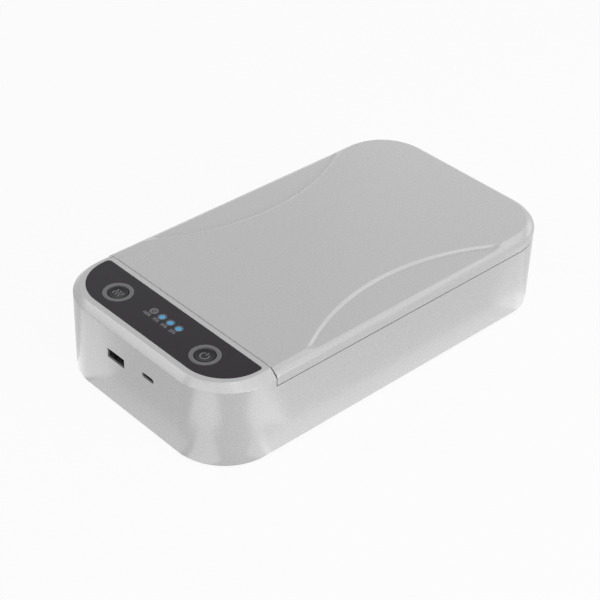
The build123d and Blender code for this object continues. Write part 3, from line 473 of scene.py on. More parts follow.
def prism(name: str, outline: Sequence[Pair], z: Pair) -> Piece:
    """Closed upright body of a flat outline.

    Args:
        name: Name of the object.
        outline: Points of the outline.
        z: Heights of its foot and its top.

    Returns:
        The object.
    """
    draft = Draft(name)
    draft.skin([draft.ring([(*point, height) for point in outline]) for height in z])
    return draft.object()


def disc_outline(x: float, y: float, radius: float, steps: int = 48) -> list[Pair]:
    """Points of a circle round a middle, anticlockwise."""
    turns = [2 * math.pi * step / steps for step in range(steps)]
    return [(x + radius * math.cos(turn), y + radius * math.sin(turn)) for turn in turns]


def soft_edge(wall: float, top: float, steps: Iterable[Pair]) -> list[Pair]:
    """Points of a profile's soft upper edge, from their insets and drops."""
    return [(wall - inset, top - drop) for inset, drop in steps]


def block(name: str, x: Pair, y: Pair, z: Pair) -> Piece:
    """Closed box between two values on each axis, for cutting."""
    return prism(name, [(x[0], y[0]), (x[1], y[0]), (x[1], y[1]), (x[0], y[1])], z)


def turned(name: str, profile: Sequence[Pair], loop: bool = False, steps: int = 64) -> Piece:
    """Body of revolution about the z axis.

    Args:
        name: Name of the object.
        profile: Radius and height of each point of the profile.
        loop: Whether the profile closes on itself, as a ring's does.
        steps: Number of steps round the axis.

    Returns:
        The object, with its axis through the origin.
    """
    draft = Draft(name)
    rings = []
    for radius, z in profile:
        if radius == 0:
            rings.append(draft.ring([(0, 0, z)]) * steps)
        else:
            rings.append(draft.ring([(*point, z) for point in disc_outline(0, 0, radius, steps)]))
    draft.join_all(rings + rings[:1] if loop else rings)
    if not loop:
        for ring, radius in ((rings[0][::-1], profile[0][0]), (rings[-1], profile[-1][0])):
            if radius:
                draft.face(ring)
    return draft.object()


def move(piece: Piece, offset: Sequence[float]) -> Piece:
    """Moves a mesh and leaves its object at the origin."""
    piece.data.transform(Matrix.Translation(Vector(offset) * MM))
    return piece


def laid(piece: Piece, axis: str) -> Piece:
    """Turns a mesh a quarter about an axis through the origin."""
    piece.data.transform(Matrix.Rotation(math.pi / 2, 4, axis))
    return piece


def refined(node: str, width: float, weld: float = 0.002, angle: float = 40.0) -> Piece:
    """Copy of a solid with its points merged and its sharp edges rounded.

    Args:
        node: The solid that is copied.
        width: Width of the rounds.
        weld: Distance within which points are merged.
        angle: Least angle between faces that counts as an edge, in degrees.

    Returns:
        The copy.
    """
    mesh = frame["nodes"][node].data.copy()
    draft = bmesh.new()
    draft.from_mesh(mesh)
    bmesh.ops.remove_doubles(draft, verts=draft.verts, dist=weld * MM)
    draft.to_mesh(mesh)
    draft.free()
    piece = new_object(f"{node}_dressed", mesh)
    if width:
        bevel = piece.modifiers.new("round", "BEVEL")
        bevel.width, bevel.segments = width * MM, 2
        bevel.limit_method, bevel.angle_limit = "ANGLE", math.radians(angle)
        bevel.use_clamp_overlap = bevel.loop_slide = False
        keep_result(piece)
    smooth(piece)
    return piece


# ---- Geometry Nodes ------------------------------------------------------------------------------
def new_tree(name: str, inputs: dict[str, str]) -> tuple[Tree, bpy.types.Node]:
    """Starts a geometry tree with named inputs.

    Args:
        name: Name of the tree.
        inputs: Socket type of each input, by its name; a geometry input comes before them.

    Returns:
        The tree and its input node.
    """
    tree = bpy.data.node_groups.new(name, "GeometryNodeTree")
    sides = tree.interface
    sides.new_socket("Geometry", in_out="INPUT", socket_type="NodeSocketGeometry")
    for label, kind in inputs.items():
        sides.new_socket(label, in_out="INPUT", socket_type=kind)
    sides.new_socket("Geometry", in_out="OUTPUT", socket_type="NodeSocketGeometry")
    return tree, add_node(tree, "NodeGroupInput")


def end_tree(tree: Tree, shape: Socket, material: Socket) -> None:
    """Ends a tree with real geometry that has its material.

    Args:
        tree: The tree.
        shape: Output with the shape.
        material: Output with the material.
    """
    real = add_node(tree, "GeometryNodeRealizeInstances", links={0: shape})
    dressed = add_node(tree, "GeometryNodeSetMaterial", links={
        "Geometry": real.outputs[0], "Material": material,
    })
    add_node(tree, "NodeGroupOutput", links={0: dressed.outputs[0]})


def grow(piece: Piece, tree: Tree, values: dict[str, Any]) -> Piece:
    """Runs a geometry tree on a piece and keeps the result as a plain mesh.

    Args:
        piece: Object that carries the tree's base.
        tree: The tree.
        values: The tree's inputs by name.

    Returns:
        The same object.
    """
    made = piece.modifiers.new("made", "NODES")
    made.node_group = tree
    for item in tree.interface.items_tree:
        if item.in_out == "INPUT" and item.name in values:
            made[item.identifier] = values[item.name]
    keep_result(piece)
    return piece


@cache
def site_tree() -> Tree:
    """Tree that sets one pattern piece at every point of its base.

    Returns:
        The tree, made once.
    """
    tree, given = new_tree("pieces_at_sites", {
        "Pattern": "NodeSocketObject", "Turn": "NodeSocketFloat", "Material": "NodeSocketMaterial",
    })
    pattern = add_node(tree, "GeometryNodeObjectInfo", {"transform_space": "ORIGINAL"},
                       {"Object": given.outputs["Pattern"]})
    turn = add_node(tree, "ShaderNodeCombineXYZ", links={"X": given.outputs["Turn"]})
    placed = add_node(tree, "GeometryNodeInstanceOnPoints", links={
        "Points": given.outputs["Geometry"],
        "Instance": pattern.outputs["Geometry"],
        "Rotation": turn.outputs[0],
    })
    end_tree(tree, placed.outputs[0], given.outputs["Material"])
    return tree


def repeat(
    name: str,
    pattern: Piece,
    sites: Sequence[Sequence[float]],
    finish: Finishes,
    body: str,
    replaces: Sequence[str] = (),
    turn: float = 0.0,
) -> None:
    """Sets a pattern piece at several sites as one dressed object, and removes the pattern.

    Args:
        name: Name of the result.
        pattern: Piece at the origin.
        sites: Points where it goes.
        finish: Finish of the result.
        body: Body that it moves with.
        replaces: Solids that it stands for.
        turn: Turn of each piece about the x axis, in degrees.
    """
    draft = Draft(name)
    draft.ring(sites)
    made = grow(draft.object(), site_tree(), {
        "Pattern": pattern, "Turn": math.radians(turn), "Material": finish.material,
    })
    drop(pattern)
    smooth(made)
    dress(made, finish, body, replaces)


def sweep_tree() -> Tree:
    """Tree that draws a bar with rounded edges along the closed path of its base.

    Returns:
        The tree.
    """
    tree, given = new_tree("swept_bar", {
        "Width": "NodeSocketFloat", "Height": "NodeSocketFloat", "Round": "NodeSocketFloat",
        "Material": "NodeSocketMaterial",
    })
    path = add_node(tree, "GeometryNodeMeshToCurve", links={0: given.outputs["Geometry"]})
    level = add_node(tree, "GeometryNodeSetCurveNormal", {"mode": "Z_UP"}, {0: path.outputs[0]})
    bar = add_node(tree, "GeometryNodeCurvePrimitiveQuadrilateral", links={
        "Width": given.outputs["Width"], "Height": given.outputs["Height"],
    })
    section = add_node(tree, "GeometryNodeFilletCurve", {
        "mode": "POLY", "Count": 3, "Limit Radius": True,
    }, {"Curve": bar.outputs[0], "Radius": given.outputs["Round"]})
    swept = add_node(tree, "GeometryNodeCurveToMesh", links={
        0: level.outputs[0], "Profile Curve": section.outputs[0],
    })
    end_tree(tree, swept.outputs[0], given.outputs["Material"])
    return tree


# Node and setting of an operation that the node for sums lacks.
NODE_OF_STEP = {"SMOOTHSTEP": ("ShaderNodeMapRange", "interpolation_type")}

# Values that the crown rule reads at each point, with their types.
POINT_VALUES = {"inset": "FLOAT", "rim_inset": "FLOAT", "rim_drop": "FLOAT", "crown": "BOOLEAN"}

# Steps of the crown rule: name of the result, operation, then operands in the node's order, each the
# name of an input or an earlier result, or a number.
CROWN_STEPS: Table = (
    # Inset of the wall between hollow and top: an arc, blended into the rim's inner edge.
    ("from_middle", "SUBTRACT", "Y", "Hollow Y"),
    ("radius_square", "MULTIPLY", "Hollow Radius", "Hollow Radius"),
    ("middle_square", "MULTIPLY", "from_middle", "from_middle"),
    ("square", "SUBTRACT", "radius_square", "middle_square"),
    ("square_kept", "MAXIMUM", "square", 0.0),
    ("root", "SQRT", "square_kept"),
    ("offset", "SUBTRACT", "Half Width", "Hollow X"),
    ("arc", "ADD", "offset", "root"),
    ("edge", "SMOOTH_MAX", "arc", "Rim Edge", "Blend"),
    # Fall into the hollow.
    ("reach", "SUBTRACT", "edge", "Rim Edge"),
    ("depth", "SMOOTHSTEP", "reach", 0.0, "Fade", 0.0, "Hollow Depth"),
    ("step_start", "SUBTRACT", "edge", "Step Width"),
    ("hollow", "SMOOTHSTEP", "inset", "step_start", "edge", "depth", 0.0),
    # Fall over the rim: a superellipse, whose exponents and height change beside the hollow.
    ("aside", "ABSOLUTE", "from_middle"),
    ("top_power", "SMOOTHSTEP", "aside", 0.0, "Shoulder Half", "Shoulder Crease", "Crease"),
    ("wall_power", "SMOOTHSTEP", "aside", 0.0, "Shoulder Half", "Shoulder Roll", "Roll"),
    ("lift", "SMOOTHSTEP", "aside", 0.0, "Shoulder Half", "Shoulder Lift", 0.0),
    ("rim_height", "SUBTRACT", "rim_drop", "lift"),
    ("left_over", "SUBTRACT", "rim_inset", "inset"),
    ("ratio", "DIVIDE", "left_over", "rim_inset"),
    ("share", "MAXIMUM", "ratio", 0.0),
    ("share_power", "POWER", "share", "top_power"),
    ("rest", "SUBTRACT", 1.0, "share_power"),
    ("rest_kept", "MAXIMUM", "rest", 0.0),
    ("root_power", "DIVIDE", 1.0, "wall_power"),
    ("rise", "POWER", "rest_kept", "root_power"),
    ("rim_share", "SUBTRACT", 1.0, "rise"),
    ("rim", "MULTIPLY", "rim_height", "rim_share"),
    # The two falls add up softly.
    ("rim_part", "DIVIDE", "rim", "Top"),
    ("hollow_part", "DIVIDE", "hollow", "Top"),
    ("rim_fourth", "POWER", "rim_part", 4.0),
    ("hollow_fourth", "POWER", "hollow_part", 4.0),
    ("both", "ADD", "rim_fourth", "hollow_fourth"),
    ("both_root", "POWER", "both", 0.25),
    ("fall", "MULTIPLY", "both_root", "Top"),
    ("height", "SUBTRACT", "Top", "fall"),
)


@cache
def crown_tree(numbers: tuple[str, ...]) -> Tree:
    """Tree that raises a flat sheet to the rule of the box's top.

    The rule has two parts. The rim falls from the top to the wall as a superellipse, which changes
    beside the finger hollows. Each hollow falls from an arc to its floor. The two add up softly.

    Args:
        numbers: Names of its inputs that are numbers.

    Returns:
        The tree.
    """
    tree, given = new_tree("box_crown", {
        **{label: "NodeSocketFloat" for label in numbers}, "Material": "NodeSocketMaterial",
    })

    place = add_node(tree, "ShaderNodeSeparateXYZ", links={
        0: add_node(tree, "GeometryNodeInputPosition").outputs[0],
    })
    known = {socket.name: socket for socket in (*given.outputs, *place.outputs)}
    for name, kind in POINT_VALUES.items():
        settings = {"data_type": kind, "Name": name}
        known[name] = add_node(tree, "GeometryNodeInputNamedAttribute", settings).outputs[0]
    for name, operation, *operands in CROWN_STEPS:
        kind, setting = NODE_OF_STEP.get(operation, ("ShaderNodeMath", "operation"))
        fixed = {number: value for number, value in enumerate(operands) if not isinstance(value, str)}
        fed = {number: known[value] for number, value in enumerate(operands) if isinstance(value, str)}
        known[name] = add_node(tree, kind, {setting: operation, **fixed}, fed).outputs[0]
    raised = add_node(tree, "ShaderNodeCombineXYZ", links={
        "X": known["X"], "Y": known["Y"], "Z": known["height"],
    })
    crown = add_node(tree, "GeometryNodeSetPosition", links={
        "Geometry": known["Geometry"],
        "Selection": known["crown"],
        "Position": raised.outputs[0],
    })
    end_tree(tree, crown.outputs[0], known["Material"])
    return tree


# ---- Form of the box -----------------------------------------------------------------------------
@dataclass(frozen=True)
class Station:
    """Point of the case's outline, with the direction that leads out of the case there."""

    x: float
    y: float
    out_x: float
    out_y: float

    def at(self, inset: float, z: float) -> tuple[float, float, float]:
        """Point at an inset from the outline and a height."""
        return (self.x - self.out_x * inset, self.y - self.out_y * inset, z)


@dataclass(frozen=True)
class CaseForm:
    """Outline and main heights that the lid and the case share."""

    half_width: float = 62.8
    front: float = -116.25
    rear: float = 113.75
    corner: float = 28.7
    top: float = 48.0
    underside: float = 1.3
    wall_top: float = 39.5
    lid_bottom: float = 39.9
    deck_rear: float = -81.31
    lid_front: float = -80.91
    pitch: float = 1.6
    end_pitch: float = 3.2
    corner_steps: int = 32
    rim_inset: float = 4.4
    rim_drop: float = 4.0
    front_rim_inset: float = 3.1
    front_rim_drop: float = 3.7

    def corner_run(self, sign_x: int, rear: bool, start: int) -> list[Station]:
        """Stations of one corner, without its two ends.

        Args:
            sign_x: Side of the box.
            rear: Whether it is a rear corner.
            start: Direction of the first end, in degrees.

        Returns:
            The stations, anticlockwise.
        """
        middle_x = sign_x * (self.half_width - self.corner)
        middle_y = self.rear - self.corner if rear else self.front + self.corner
        stations = []
        for step in range(1, self.corner_steps):
            angle = math.radians(start + 90 * step / self.corner_steps)
            out = (math.cos(angle), math.sin(angle))
            stations.append(Station(middle_x + self.corner * out[0], middle_y + self.corner * out[1], *out))
        return stations

    def side_run(self, sign_x: int, ys: Sequence[float]) -> list[Station]:
        """Stations along one long side."""
        return [Station(sign_x * self.half_width, y, sign_x, 0) for y in ys]

    def path(self, rear: bool, ys: Sequence[float]) -> list[Station]:
        """Stations from the seam along one side, round an end of the case and back on the other side.

        Args:
            rear: Whether it is the rear end.
            ys: Places along a side, from the seam to the start of the corner.

        Returns:
            The stations, anticlockwise.
        """
        sign, start, y = (1, 0, self.rear) if rear else (-1, 180, self.front)
        flat = sign * (self.half_width - self.corner)
        end = [Station(x, y, 0, sign) for x in spread(flat, -flat, self.end_pitch)]
        return (self.side_run(sign, ys) + self.corner_run(sign, rear, start) + end
                + self.corner_run(-sign, rear, start + 90) + self.side_run(-sign, ys[::-1]))

    def rim(self, station: Station) -> Pair:
        """Size of the rim at a station, which eases to a narrower one along the front.

        Args:
            station: The station.

        Returns:
            The rim's width and height.
        """
        frontal = max(0.0, -station.out_y)
        share = frontal * frontal * (3 - 2 * frontal)
        return (self.rim_inset + (self.front_rim_inset - self.rim_inset) * share,
                self.rim_drop + (self.front_rim_drop - self.rim_drop) * share)

    def outline(self, inset: float) -> list[Pair]:
        """Outline of the case drawn in by an inset.

        Args:
            inset: Distance by which it is drawn in.

        Returns:
            Its points.
        """
        x = (-self.half_width + inset, self.half_width - inset)
        return rounded_rectangle(x, (self.front + inset, self.rear - inset), [self.corner - inset] * 4,
                                 CORNER_STEPS)


@dataclass(frozen=True)
class CrownRule:
    """Sizes of the rule that shapes the top of the box.

    The rim's section is a superellipse. Its crease is the exponent at the top and its roll the one at
    the wall, where 1 is a flat bevel. Beside the hollows both change to the shoulder's.
    """

    rim_edge: float = 3.75
    crease: float = 1.12
    deck_crease: float = 1.04
    roll: float = 1.6
    deck_roll: float = 1.05
    shoulder: float = 1.25
    shoulder_lift: float = 0.4
    shoulder_half: float = 62.0
    hollow_depth: float = 1.2
    hollow_radius: float = 125.0
    hollow_x: float = 164.2
    hollow_y: float = 7.35
    step_width: float = 2.0
    blend: float = 7.0
    fade: float = 4.0
    rim_steps: int = 12
    floor_steps: int = 5
    step_steps: int = 9
    # Least widths of a hollow's floor and of the step up from it, and the insets past that step.
    floor_least: float = 0.9
    step_least: float = 1.2
    past_step: Pair = (0.5, 2.0)

    def edge_inset(self, form: CaseForm, y: float) -> float:
        """Inset of the top edge of the hollows' inner wall at a place along the box.

        Args:
            form: Form of the case.
            y: Place along the box.

        Returns:
            The inset; beyond the hollows it is the rim's.
        """
        root = math.sqrt(max(0.0, self.hollow_radius ** 2 - (y - self.hollow_y) ** 2))
        arc = form.half_width - self.hollow_x + root
        overlap = max(self.blend - abs(arc - self.rim_edge), 0) / self.blend
        return max(arc, self.rim_edge) + overlap * overlap * self.blend / 4

    def rim_insets(self, rim_inset: float) -> list[float]:
        """Insets of the rim's points, close together where it meets the wall and the top."""
        turns = [math.pi / 2 * step / self.rim_steps for step in range(self.rim_steps + 1)]
        return [rim_inset * (1 - math.cos(turn) ** (2 / self.crease)) for turn in turns]

    def insets(self, form: CaseForm, station: Station) -> list[float]:
        """Insets of every point of the lid's sheet at a station.

        Args:
            form: Form of the case.
            station: The station.

        Returns:
            The insets, from the rim inwards.
        """
        edge = self.edge_inset(form, station.y)
        rim = self.rim_insets(form.rim_inset)
        low = max(edge - self.step_width, form.rim_inset + self.floor_least)
        high = max(edge, low + self.step_least)
        floor = [rim[-1] + (low - rim[-1]) * place / self.floor_steps for place in range(1, self.floor_steps)]
        step = [low + (high - low) * place / self.step_steps for place in range(self.step_steps + 1)]
        return rim + floor + step + [high + past for past in self.past_step]

    def crown(self, piece: Piece, form: CaseForm, hollows: bool, finish: Finishes) -> Piece:
        """Raises the top sheet of a piece.

        Args:
            piece: Piece with a flat sheet.
            form: Form of the case.
            hollows: Whether the sheet has the finger hollows.
            finish: The piece's finish.

        Returns:
            The same object.
        """
        lengths = {
            "Top": form.top, "Half Width": form.half_width, "Rim Edge": self.rim_edge,
            "Shoulder Lift": self.shoulder_lift if hollows else 0.0,
            "Shoulder Half": self.shoulder_half,
            "Hollow Depth": self.hollow_depth if hollows else 0.0,
            "Hollow Radius": self.hollow_radius, "Hollow X": self.hollow_x, "Hollow Y": self.hollow_y,
            "Step Width": self.step_width, "Blend": self.blend, "Fade": self.fade,
        }
        crease, roll = (self.crease, self.roll) if hollows else (self.deck_crease, self.deck_roll)
        values = {
            **{label: value * MM for label, value in lengths.items()},
            "Crease": crease, "Shoulder Crease": self.shoulder if hollows else crease,
            "Roll": roll, "Shoulder Roll": self.shoulder if hollows else roll,
        }
        return grow(piece, crown_tree(tuple(values)), {**values, "Material": finish.material})


@dataclass
class CrownedDraft(Draft):
    """Draft whose top sheet is raised by the crown tree."""

    def __post_init__(self) -> None:
        """Adds the values that the crown tree reads at each point."""
        layers = self.mesh.verts.layers
        *numbers, crown = POINT_VALUES
        self.numbers = [layers.float.new(name) for name in numbers]
        self.crown = layers.bool.new(crown)

    def sheet(self, station: Station, insets: Sequence[float], rim: Pair, top: float) -> list:
        """Adds the points of the top sheet at a station.

        Args:
            station: Place on the outline.
            insets: Their insets.
            rim: Width and height of the rim there.
            top: Height of the top.

        Returns:
            Their vertices, from the wall inwards.
        """
        points = self.ring([station.at(inset, top) for inset in insets])
        for point, inset in zip(points, insets):
            for layer, value in zip(self.numbers, (inset, *rim)):
                point[layer] = value * MM
            point[self.crown] = True
        return points


def soften_seam(
    piece: Piece,
    seam: float,
    way: int,
    radius: float,
    low: float,
    form: CaseForm,
    side: float = 8.0,
    upper: float = 5.0,
) -> None:
    """Rounds the edge of a piece along the seam between the deck and the lid.

    Args:
        piece: Object whose points are moved.
        seam: Place of the piece's flat face.
        way: Side of the face on which the piece lies.
        radius: Radius of the round.
        low: Height above which the edge is rounded.
        form: Form of the case.
        side: Width of the strip at each wall that is drawn in.
        upper: Height of the strip under the top that is drawn down.
    """
    for point in piece.data.vertices:
        x, y, z = (value / MM for value in point.co)
        depth = (y - seam) * way
        if depth >= radius or z < low:
            continue
        fall = radius - math.sqrt(max(0.0, radius ** 2 - (radius - depth) ** 2))
        fall *= min(1.0, z - low)
        if abs(x) > form.half_width - side:
            point.co.x -= math.copysign(fall * MM, x)
        if z > form.top - upper:
            point.co.z -= fall * MM


# ---- Lid -----------------------------------------------------------------------------------------
@dataclass
class Lid:
    """Lid with its finger hollows, liner and gasket."""

    form: CaseForm
    rule: CrownRule = CrownRule()
    wall: float = 2.0
    roof: float = 45.6
    edge: float = 0.3
    seam_round: float = 0.6
    gasket_width: float = 2.4
    gasket_round: float = 0.3
    gasket_radii: tuple[float, ...] = (13.6, 21.0, 21.0, 13.6)
    gasket_angle: float = 50.0
    liner_round: float = 0.2
    wall_rises: tuple[float, ...] = (1.2, 2.4, 3.4)
    seam_shares: tuple[float, ...] = (0, 0.1, 0.3, 0.6)
    inner_corner: float = 0.5

    def sides(self) -> list[float]:
        """Places of the stations along a side, close together at the seam.

        Returns:
            Their places along the y axis.
        """
        start = self.form.lid_front
        near = [start + self.seam_round * share for share in self.seam_shares]
        return near + spread(start + self.seam_round, self.form.rear - self.form.corner, self.form.pitch)

    def shell(self) -> Piece:
        """Builds the outer shell.

        Returns:
            The shell, hollow from below.
        """
        form, rule = self.form, self.rule
        draft = CrownedDraft("lid_crown")
        lip = [(self.edge, 0), (self.edge * EASE, self.edge * EASE), (0, self.edge)]
        lip += [(0, rise) for rise in self.wall_rises]
        rim = (form.rim_inset, form.rim_drop)
        columns = []
        for station in form.path(True, self.sides()):
            wall = draft.ring([station.at(inset, form.lid_bottom + rise) for inset, rise in lip])
            columns.append(wall + draft.sheet(station, rule.insets(form, station), rim, form.top))
        draft.join_all(columns, closed=False)
        draft.face([column[-1] for column in columns])
        draft.face([column[0] for column in columns][::-1])
        draft.face(columns[0] + columns[-1][::-1])
        lid = rule.crown(draft.object(), form, True, Finishes.PAINT)
        soften_seam(lid, form.lid_front, 1, self.seam_round, form.lid_bottom + self.edge, form)
        rear_corner = form.corner - self.wall
        inside = rounded_rectangle(
            (-form.half_width + self.wall, form.half_width - self.wall),
            (form.lid_front + self.wall, form.rear - self.wall),
            [self.inner_corner, rear_corner, rear_corner, self.inner_corner], CORNER_STEPS)
        combine(lid, [prism("inside", inside, (form.lid_bottom - PAST, self.roof))])
        smooth(lid, SHELL_ANGLE)
        return lid

    def gasket(self) -> Piece:
        """Builds the rubber seal that runs round the chamber's mouth.

        Returns:
            The seal.
        """
        low, high = (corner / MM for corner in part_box("lid_gasket"))
        half = self.gasket_width / 2
        path = rounded_rectangle((low.x + half, high.x - half), (low.y + half, high.y - half),
                                 [radius - half for radius in self.gasket_radii], CORNER_STEPS)
        draft = Draft("lid_gasket_swept")
        points = draft.ring([(x, y, (low.z + high.z) / 2) for x, y in path])
        for before, after in zip(points, points[1:] + points[:1]):
            draft.mesh.edges.new((before, after))
        gasket = grow(draft.object(), sweep_tree(), {
            "Width": self.gasket_width * MM,
            "Height": (high.z - low.z) * MM,
            "Round": self.gasket_round * MM,
            "Material": Finishes.RUBBER.material,
        })
        smooth(gasket, self.gasket_angle)
        return gasket

    def build(self) -> None:
        """Builds the lid's pieces."""
        dress(self.shell(), Finishes.PAINT, "lid", ["lid_shell"])
        dress(refined("lid_liner", self.liner_round), Finishes.LINER, "lid", ["lid_liner"])
        dress(self.gasket(), Finishes.RUBBER, "lid", ["lid_gasket"])


# ---- Case ----------------------------------------------------------------------------------------
@dataclass
class Case:
    """Lower case with its control deck and openings."""

    form: CaseForm
    rule: CrownRule = CrownRule()
    wall: float = 2.2
    roof: float = 45.8
    edge: float = 0.3
    foot_round: float = 0.7
    cover_round: float = 0.2
    deck_wall: float = 2.2
    ledge: float = 36.4
    panel_inset: float = 6.25
    panel_end: float = -84.15
    panel_rear_radius: float = 2.0
    recess: float = 0.7
    recess_room: float = 0.1
    button_x: float = 32.1
    button_y: float = -97.8
    cap_room: float = 5.4
    # Insets and rises of the foot's points, as shares of its round.
    foot_shares: tuple[Pair, ...] = ((1, 0), (0.55, 0.1), (0.15, 0.4), (0, 1))
    risers: tuple[float, ...] = (8.0, 16.0, 24.0, 32.0)
    wall_rises: tuple[float, ...] = (1.5, 3.0)
    seam_steps: tuple[float, ...] = (0, 0.04, 0.13)
    behind_pitch: float = 4.8
    panel_steps: int = 20
    # Least distance from the rim to the inset after it, and the deck's two insets past the rim.
    deck_gap: float = 0.4
    deck_insets: Pair = (4.9, 5.4)

    def panel_outline(self, outset: float) -> list[Pair]:
        """Outline of the control panel, let out by an outset.

        Args:
            outset: Distance by which it is let out.

        Returns:
            Its points.
        """
        form = self.form
        inset = self.panel_inset - outset
        front, rear = form.corner - inset, self.panel_rear_radius + outset
        x = (-form.half_width + inset, form.half_width - inset)
        y = (form.front + inset, self.panel_end + outset)
        return rounded_rectangle(x, y, [front, rear, rear, front], self.panel_steps)

    def outer(self) -> Piece:
        """Builds the solid outer form: walls, deck and rim.

        Returns:
            The closed form, crowned but not hollowed.
        """
        form, rule = self.form, self.rule
        draft = CrownedDraft("case_crown")
        foot = [(self.foot_round * inset, form.underside + self.foot_round * rise)
                for inset, rise in self.foot_shares]
        lower_points = foot + [(0, z) for z in (*self.risers, form.wall_top - self.edge)]
        lip = [(self.edge * EASE, form.wall_top - self.edge * EASE), (self.edge, form.wall_top)]
        walls = [(0, form.wall_top + rise) for rise in (-self.edge * EASE, 0, *self.wall_rises)]

        start = form.deck_rear
        behind_ys = spread(start, form.rear - form.corner, self.behind_pitch)
        near = [start - step for step in self.seam_steps]
        front_ys = near + spread(start - self.edge, form.front + form.corner, form.pitch)

        behind = [draft.ring([station.at(*point) for point in lower_points + lip])
                  for station in form.path(True, behind_ys)]
        base = len(lower_points)
        before: list[list] = []
        for station in form.path(False, front_ys):
            rim = form.rim(station)
            deck_start, deck_inset = self.deck_insets
            insets = rule.rim_insets(rim[0]) + [max(rim[0] + self.deck_gap, deck_start), deck_inset]
            upper = draft.ring([station.at(*point) for point in walls])
            upper += draft.sheet(station, insets, rim, form.top)
            if not before:
                lower = behind[-1][:base]
            elif station.y == front_ys[0] and station.x > 0:
                lower = behind[0][:base]
            else:
                lower = draft.ring([station.at(*point) for point in lower_points])
            before.append(lower + upper)
        for columns in (behind, before):
            draft.join_all(columns, closed=False)
        for columns in (behind, before):
            draft.face([column[-1] for column in columns])
        draft.face([column[0] for column in behind + before[1:-1]][::-1])
        left, right = before[0][base - 1:], before[-1][base - 1:]
        draft.face(behind[0][base:][::-1] + right + left[::-1] + behind[-1][base:])
        return rule.crown(draft.object(), form, False, Finishes.PAINT)

    def shell(self) -> Piece:
        """Builds the case as a hollow shell with its openings.

        Returns:
            The shell.
        """
        form = self.form
        case = self.outer()
        soften_seam(case, form.deck_rear, -1, self.edge, form.wall_top, form)
        inner = form.outline(self.wall)
        below = [(x, min(y, form.deck_rear - self.deck_wall)) for x, y in inner]
        behind = [(x, max(y, form.deck_rear)) for x, y in inner]
        combine(case, [
            prism("under_all", inner, (form.underside - PAST, self.ledge)),
            prism("under_deck", tidy_outline(below), (self.ledge - PAST, self.roof)),
            prism("under_lid", tidy_outline(behind), (self.ledge - PAST, form.wall_top + PAST)),
            prism("panel_recess", self.panel_outline(self.recess_room),
                  (form.top - self.recess, form.top + PAST)),
        ])
        for sign in (-1, 1):
            hole = disc_outline(sign * self.button_x, self.button_y, self.cap_room)
            combine(case, [prism("button_hole", hole, (self.roof - PAST, form.top))])
        for port in PORTS:
            combine(case, port.cutters(form))
        depth, room = Hinges.knuckle_r + Hinges.room, Hinges.lid_length / 2 + Hinges.room
        for x in Hinges.sites:
            y, z = (form.rear - depth, form.rear + PAST), (Hinges.z - depth, form.wall_top + PAST)
            combine(case, [block("hinge_notch", (x - room, x + room), y, z)])
        smooth(case, SHELL_ANGLE)
        return case

    def build(self) -> None:
        """Builds the case and its bottom."""
        dress(self.shell(), Finishes.PAINT, "case", ["body_shell"])
        cover = refined("bottom_cover", self.cover_round)
        dress(cover, Finishes.COVER, "case", ["bottom_cover"])
        for port in PORTS:
            port.build(self.form)


def tidy_outline(points: Sequence[Pair]) -> list[Pair]:
    """Outline without points that repeat or lie on a straight run.

    Args:
        points: Points of an outline.

    Returns:
        The points that turn it.
    """
    least_step, least_turn = 1e-6, 1e-9
    kept: list[Pair] = []
    for point in points:
        if not kept or math.dist(point, kept[-1]) > least_step:
            kept.append(point)
    result = []
    for place, point in enumerate(kept):
        before, after = kept[place - 1], kept[(place + 1) % len(kept)]
        turn = ((point[0] - before[0]) * (after[1] - point[1])
                - (point[1] - before[1]) * (after[0] - point[0]))
        if abs(turn) > least_turn:
            result.append(point)
    return result


# ---- Ports ---------------------------------------------------------------------------------------
@dataclass(frozen=True)
class Port:
    """Socket in the front wall, which is thinner round it."""

    shell: str
    x: float
    z: float
    size: Pair
    corner: float
    lip: float = 1.0
    room: float = 0.1
    mouth: Pair = (-1.0, 4.0)
    pocket_end: float = 6.0
    pocket_round: float = 0.5
    least_flat: float = 0.01
    front_band: float = 0.05
    steps: int = 12

    def tunnel(self, form: CaseForm, size: Pair, corner: float, y: Pair) -> Piece:
        """Body along the socket's axis.

        Args:
            form: Form of the case.
            size: Its width and height.
            corner: Radius of its corners.
            y: Its two ends, behind the front face.

        Returns:
            The body.
        """
        spans = [(-length / 2, length / 2) for length in size]
        outline = rounded_rectangle(*spans, [corner] * 4, self.steps)
        body = prism("tunnel", outline, (-y[1], -y[0]))
        return move(laid(body, "X"), (self.x, form.front, self.z))

    def cutters(self, form: CaseForm) -> list[Piece]:
        """Bodies that open the socket and the pocket behind the lip.

        Args:
            form: Form of the case.

        Returns:
            The two bodies.
        """
        low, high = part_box(self.shell)
        size = ((high.x - low.x) / MM + 2 * self.room, (high.z - low.z) / MM + 2 * self.room)
        corner = min(self.corner + self.pocket_round, size[1] / 2 - self.least_flat)
        return [self.tunnel(form, self.size, self.corner, self.mouth),
                self.tunnel(form, size, corner, (self.lip, self.pocket_end))]

    def build(self, form: CaseForm) -> None:
        """Builds the socket's shell, which reaches forward to the lip.

        Args:
            form: Form of the case.
        """
        shell = refined(self.shell, 0.0)
        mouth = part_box(self.shell)[0].y + self.front_band * MM
        for point in shell.data.vertices:
            if point.co.y < mouth:
                point.co.y = (form.front + self.lip + self.room) * MM
        smooth(shell)
        dress(shell, Finishes.NICKEL, "case", [self.shell])


PORTS = (
    Port("usb_a_shell", -10.9, 29.8, (12.6, 5.22), 0.25),
    Port("usb_c_shell", 13.1, 32.5, (8.44, 2.66), 1.32),
)


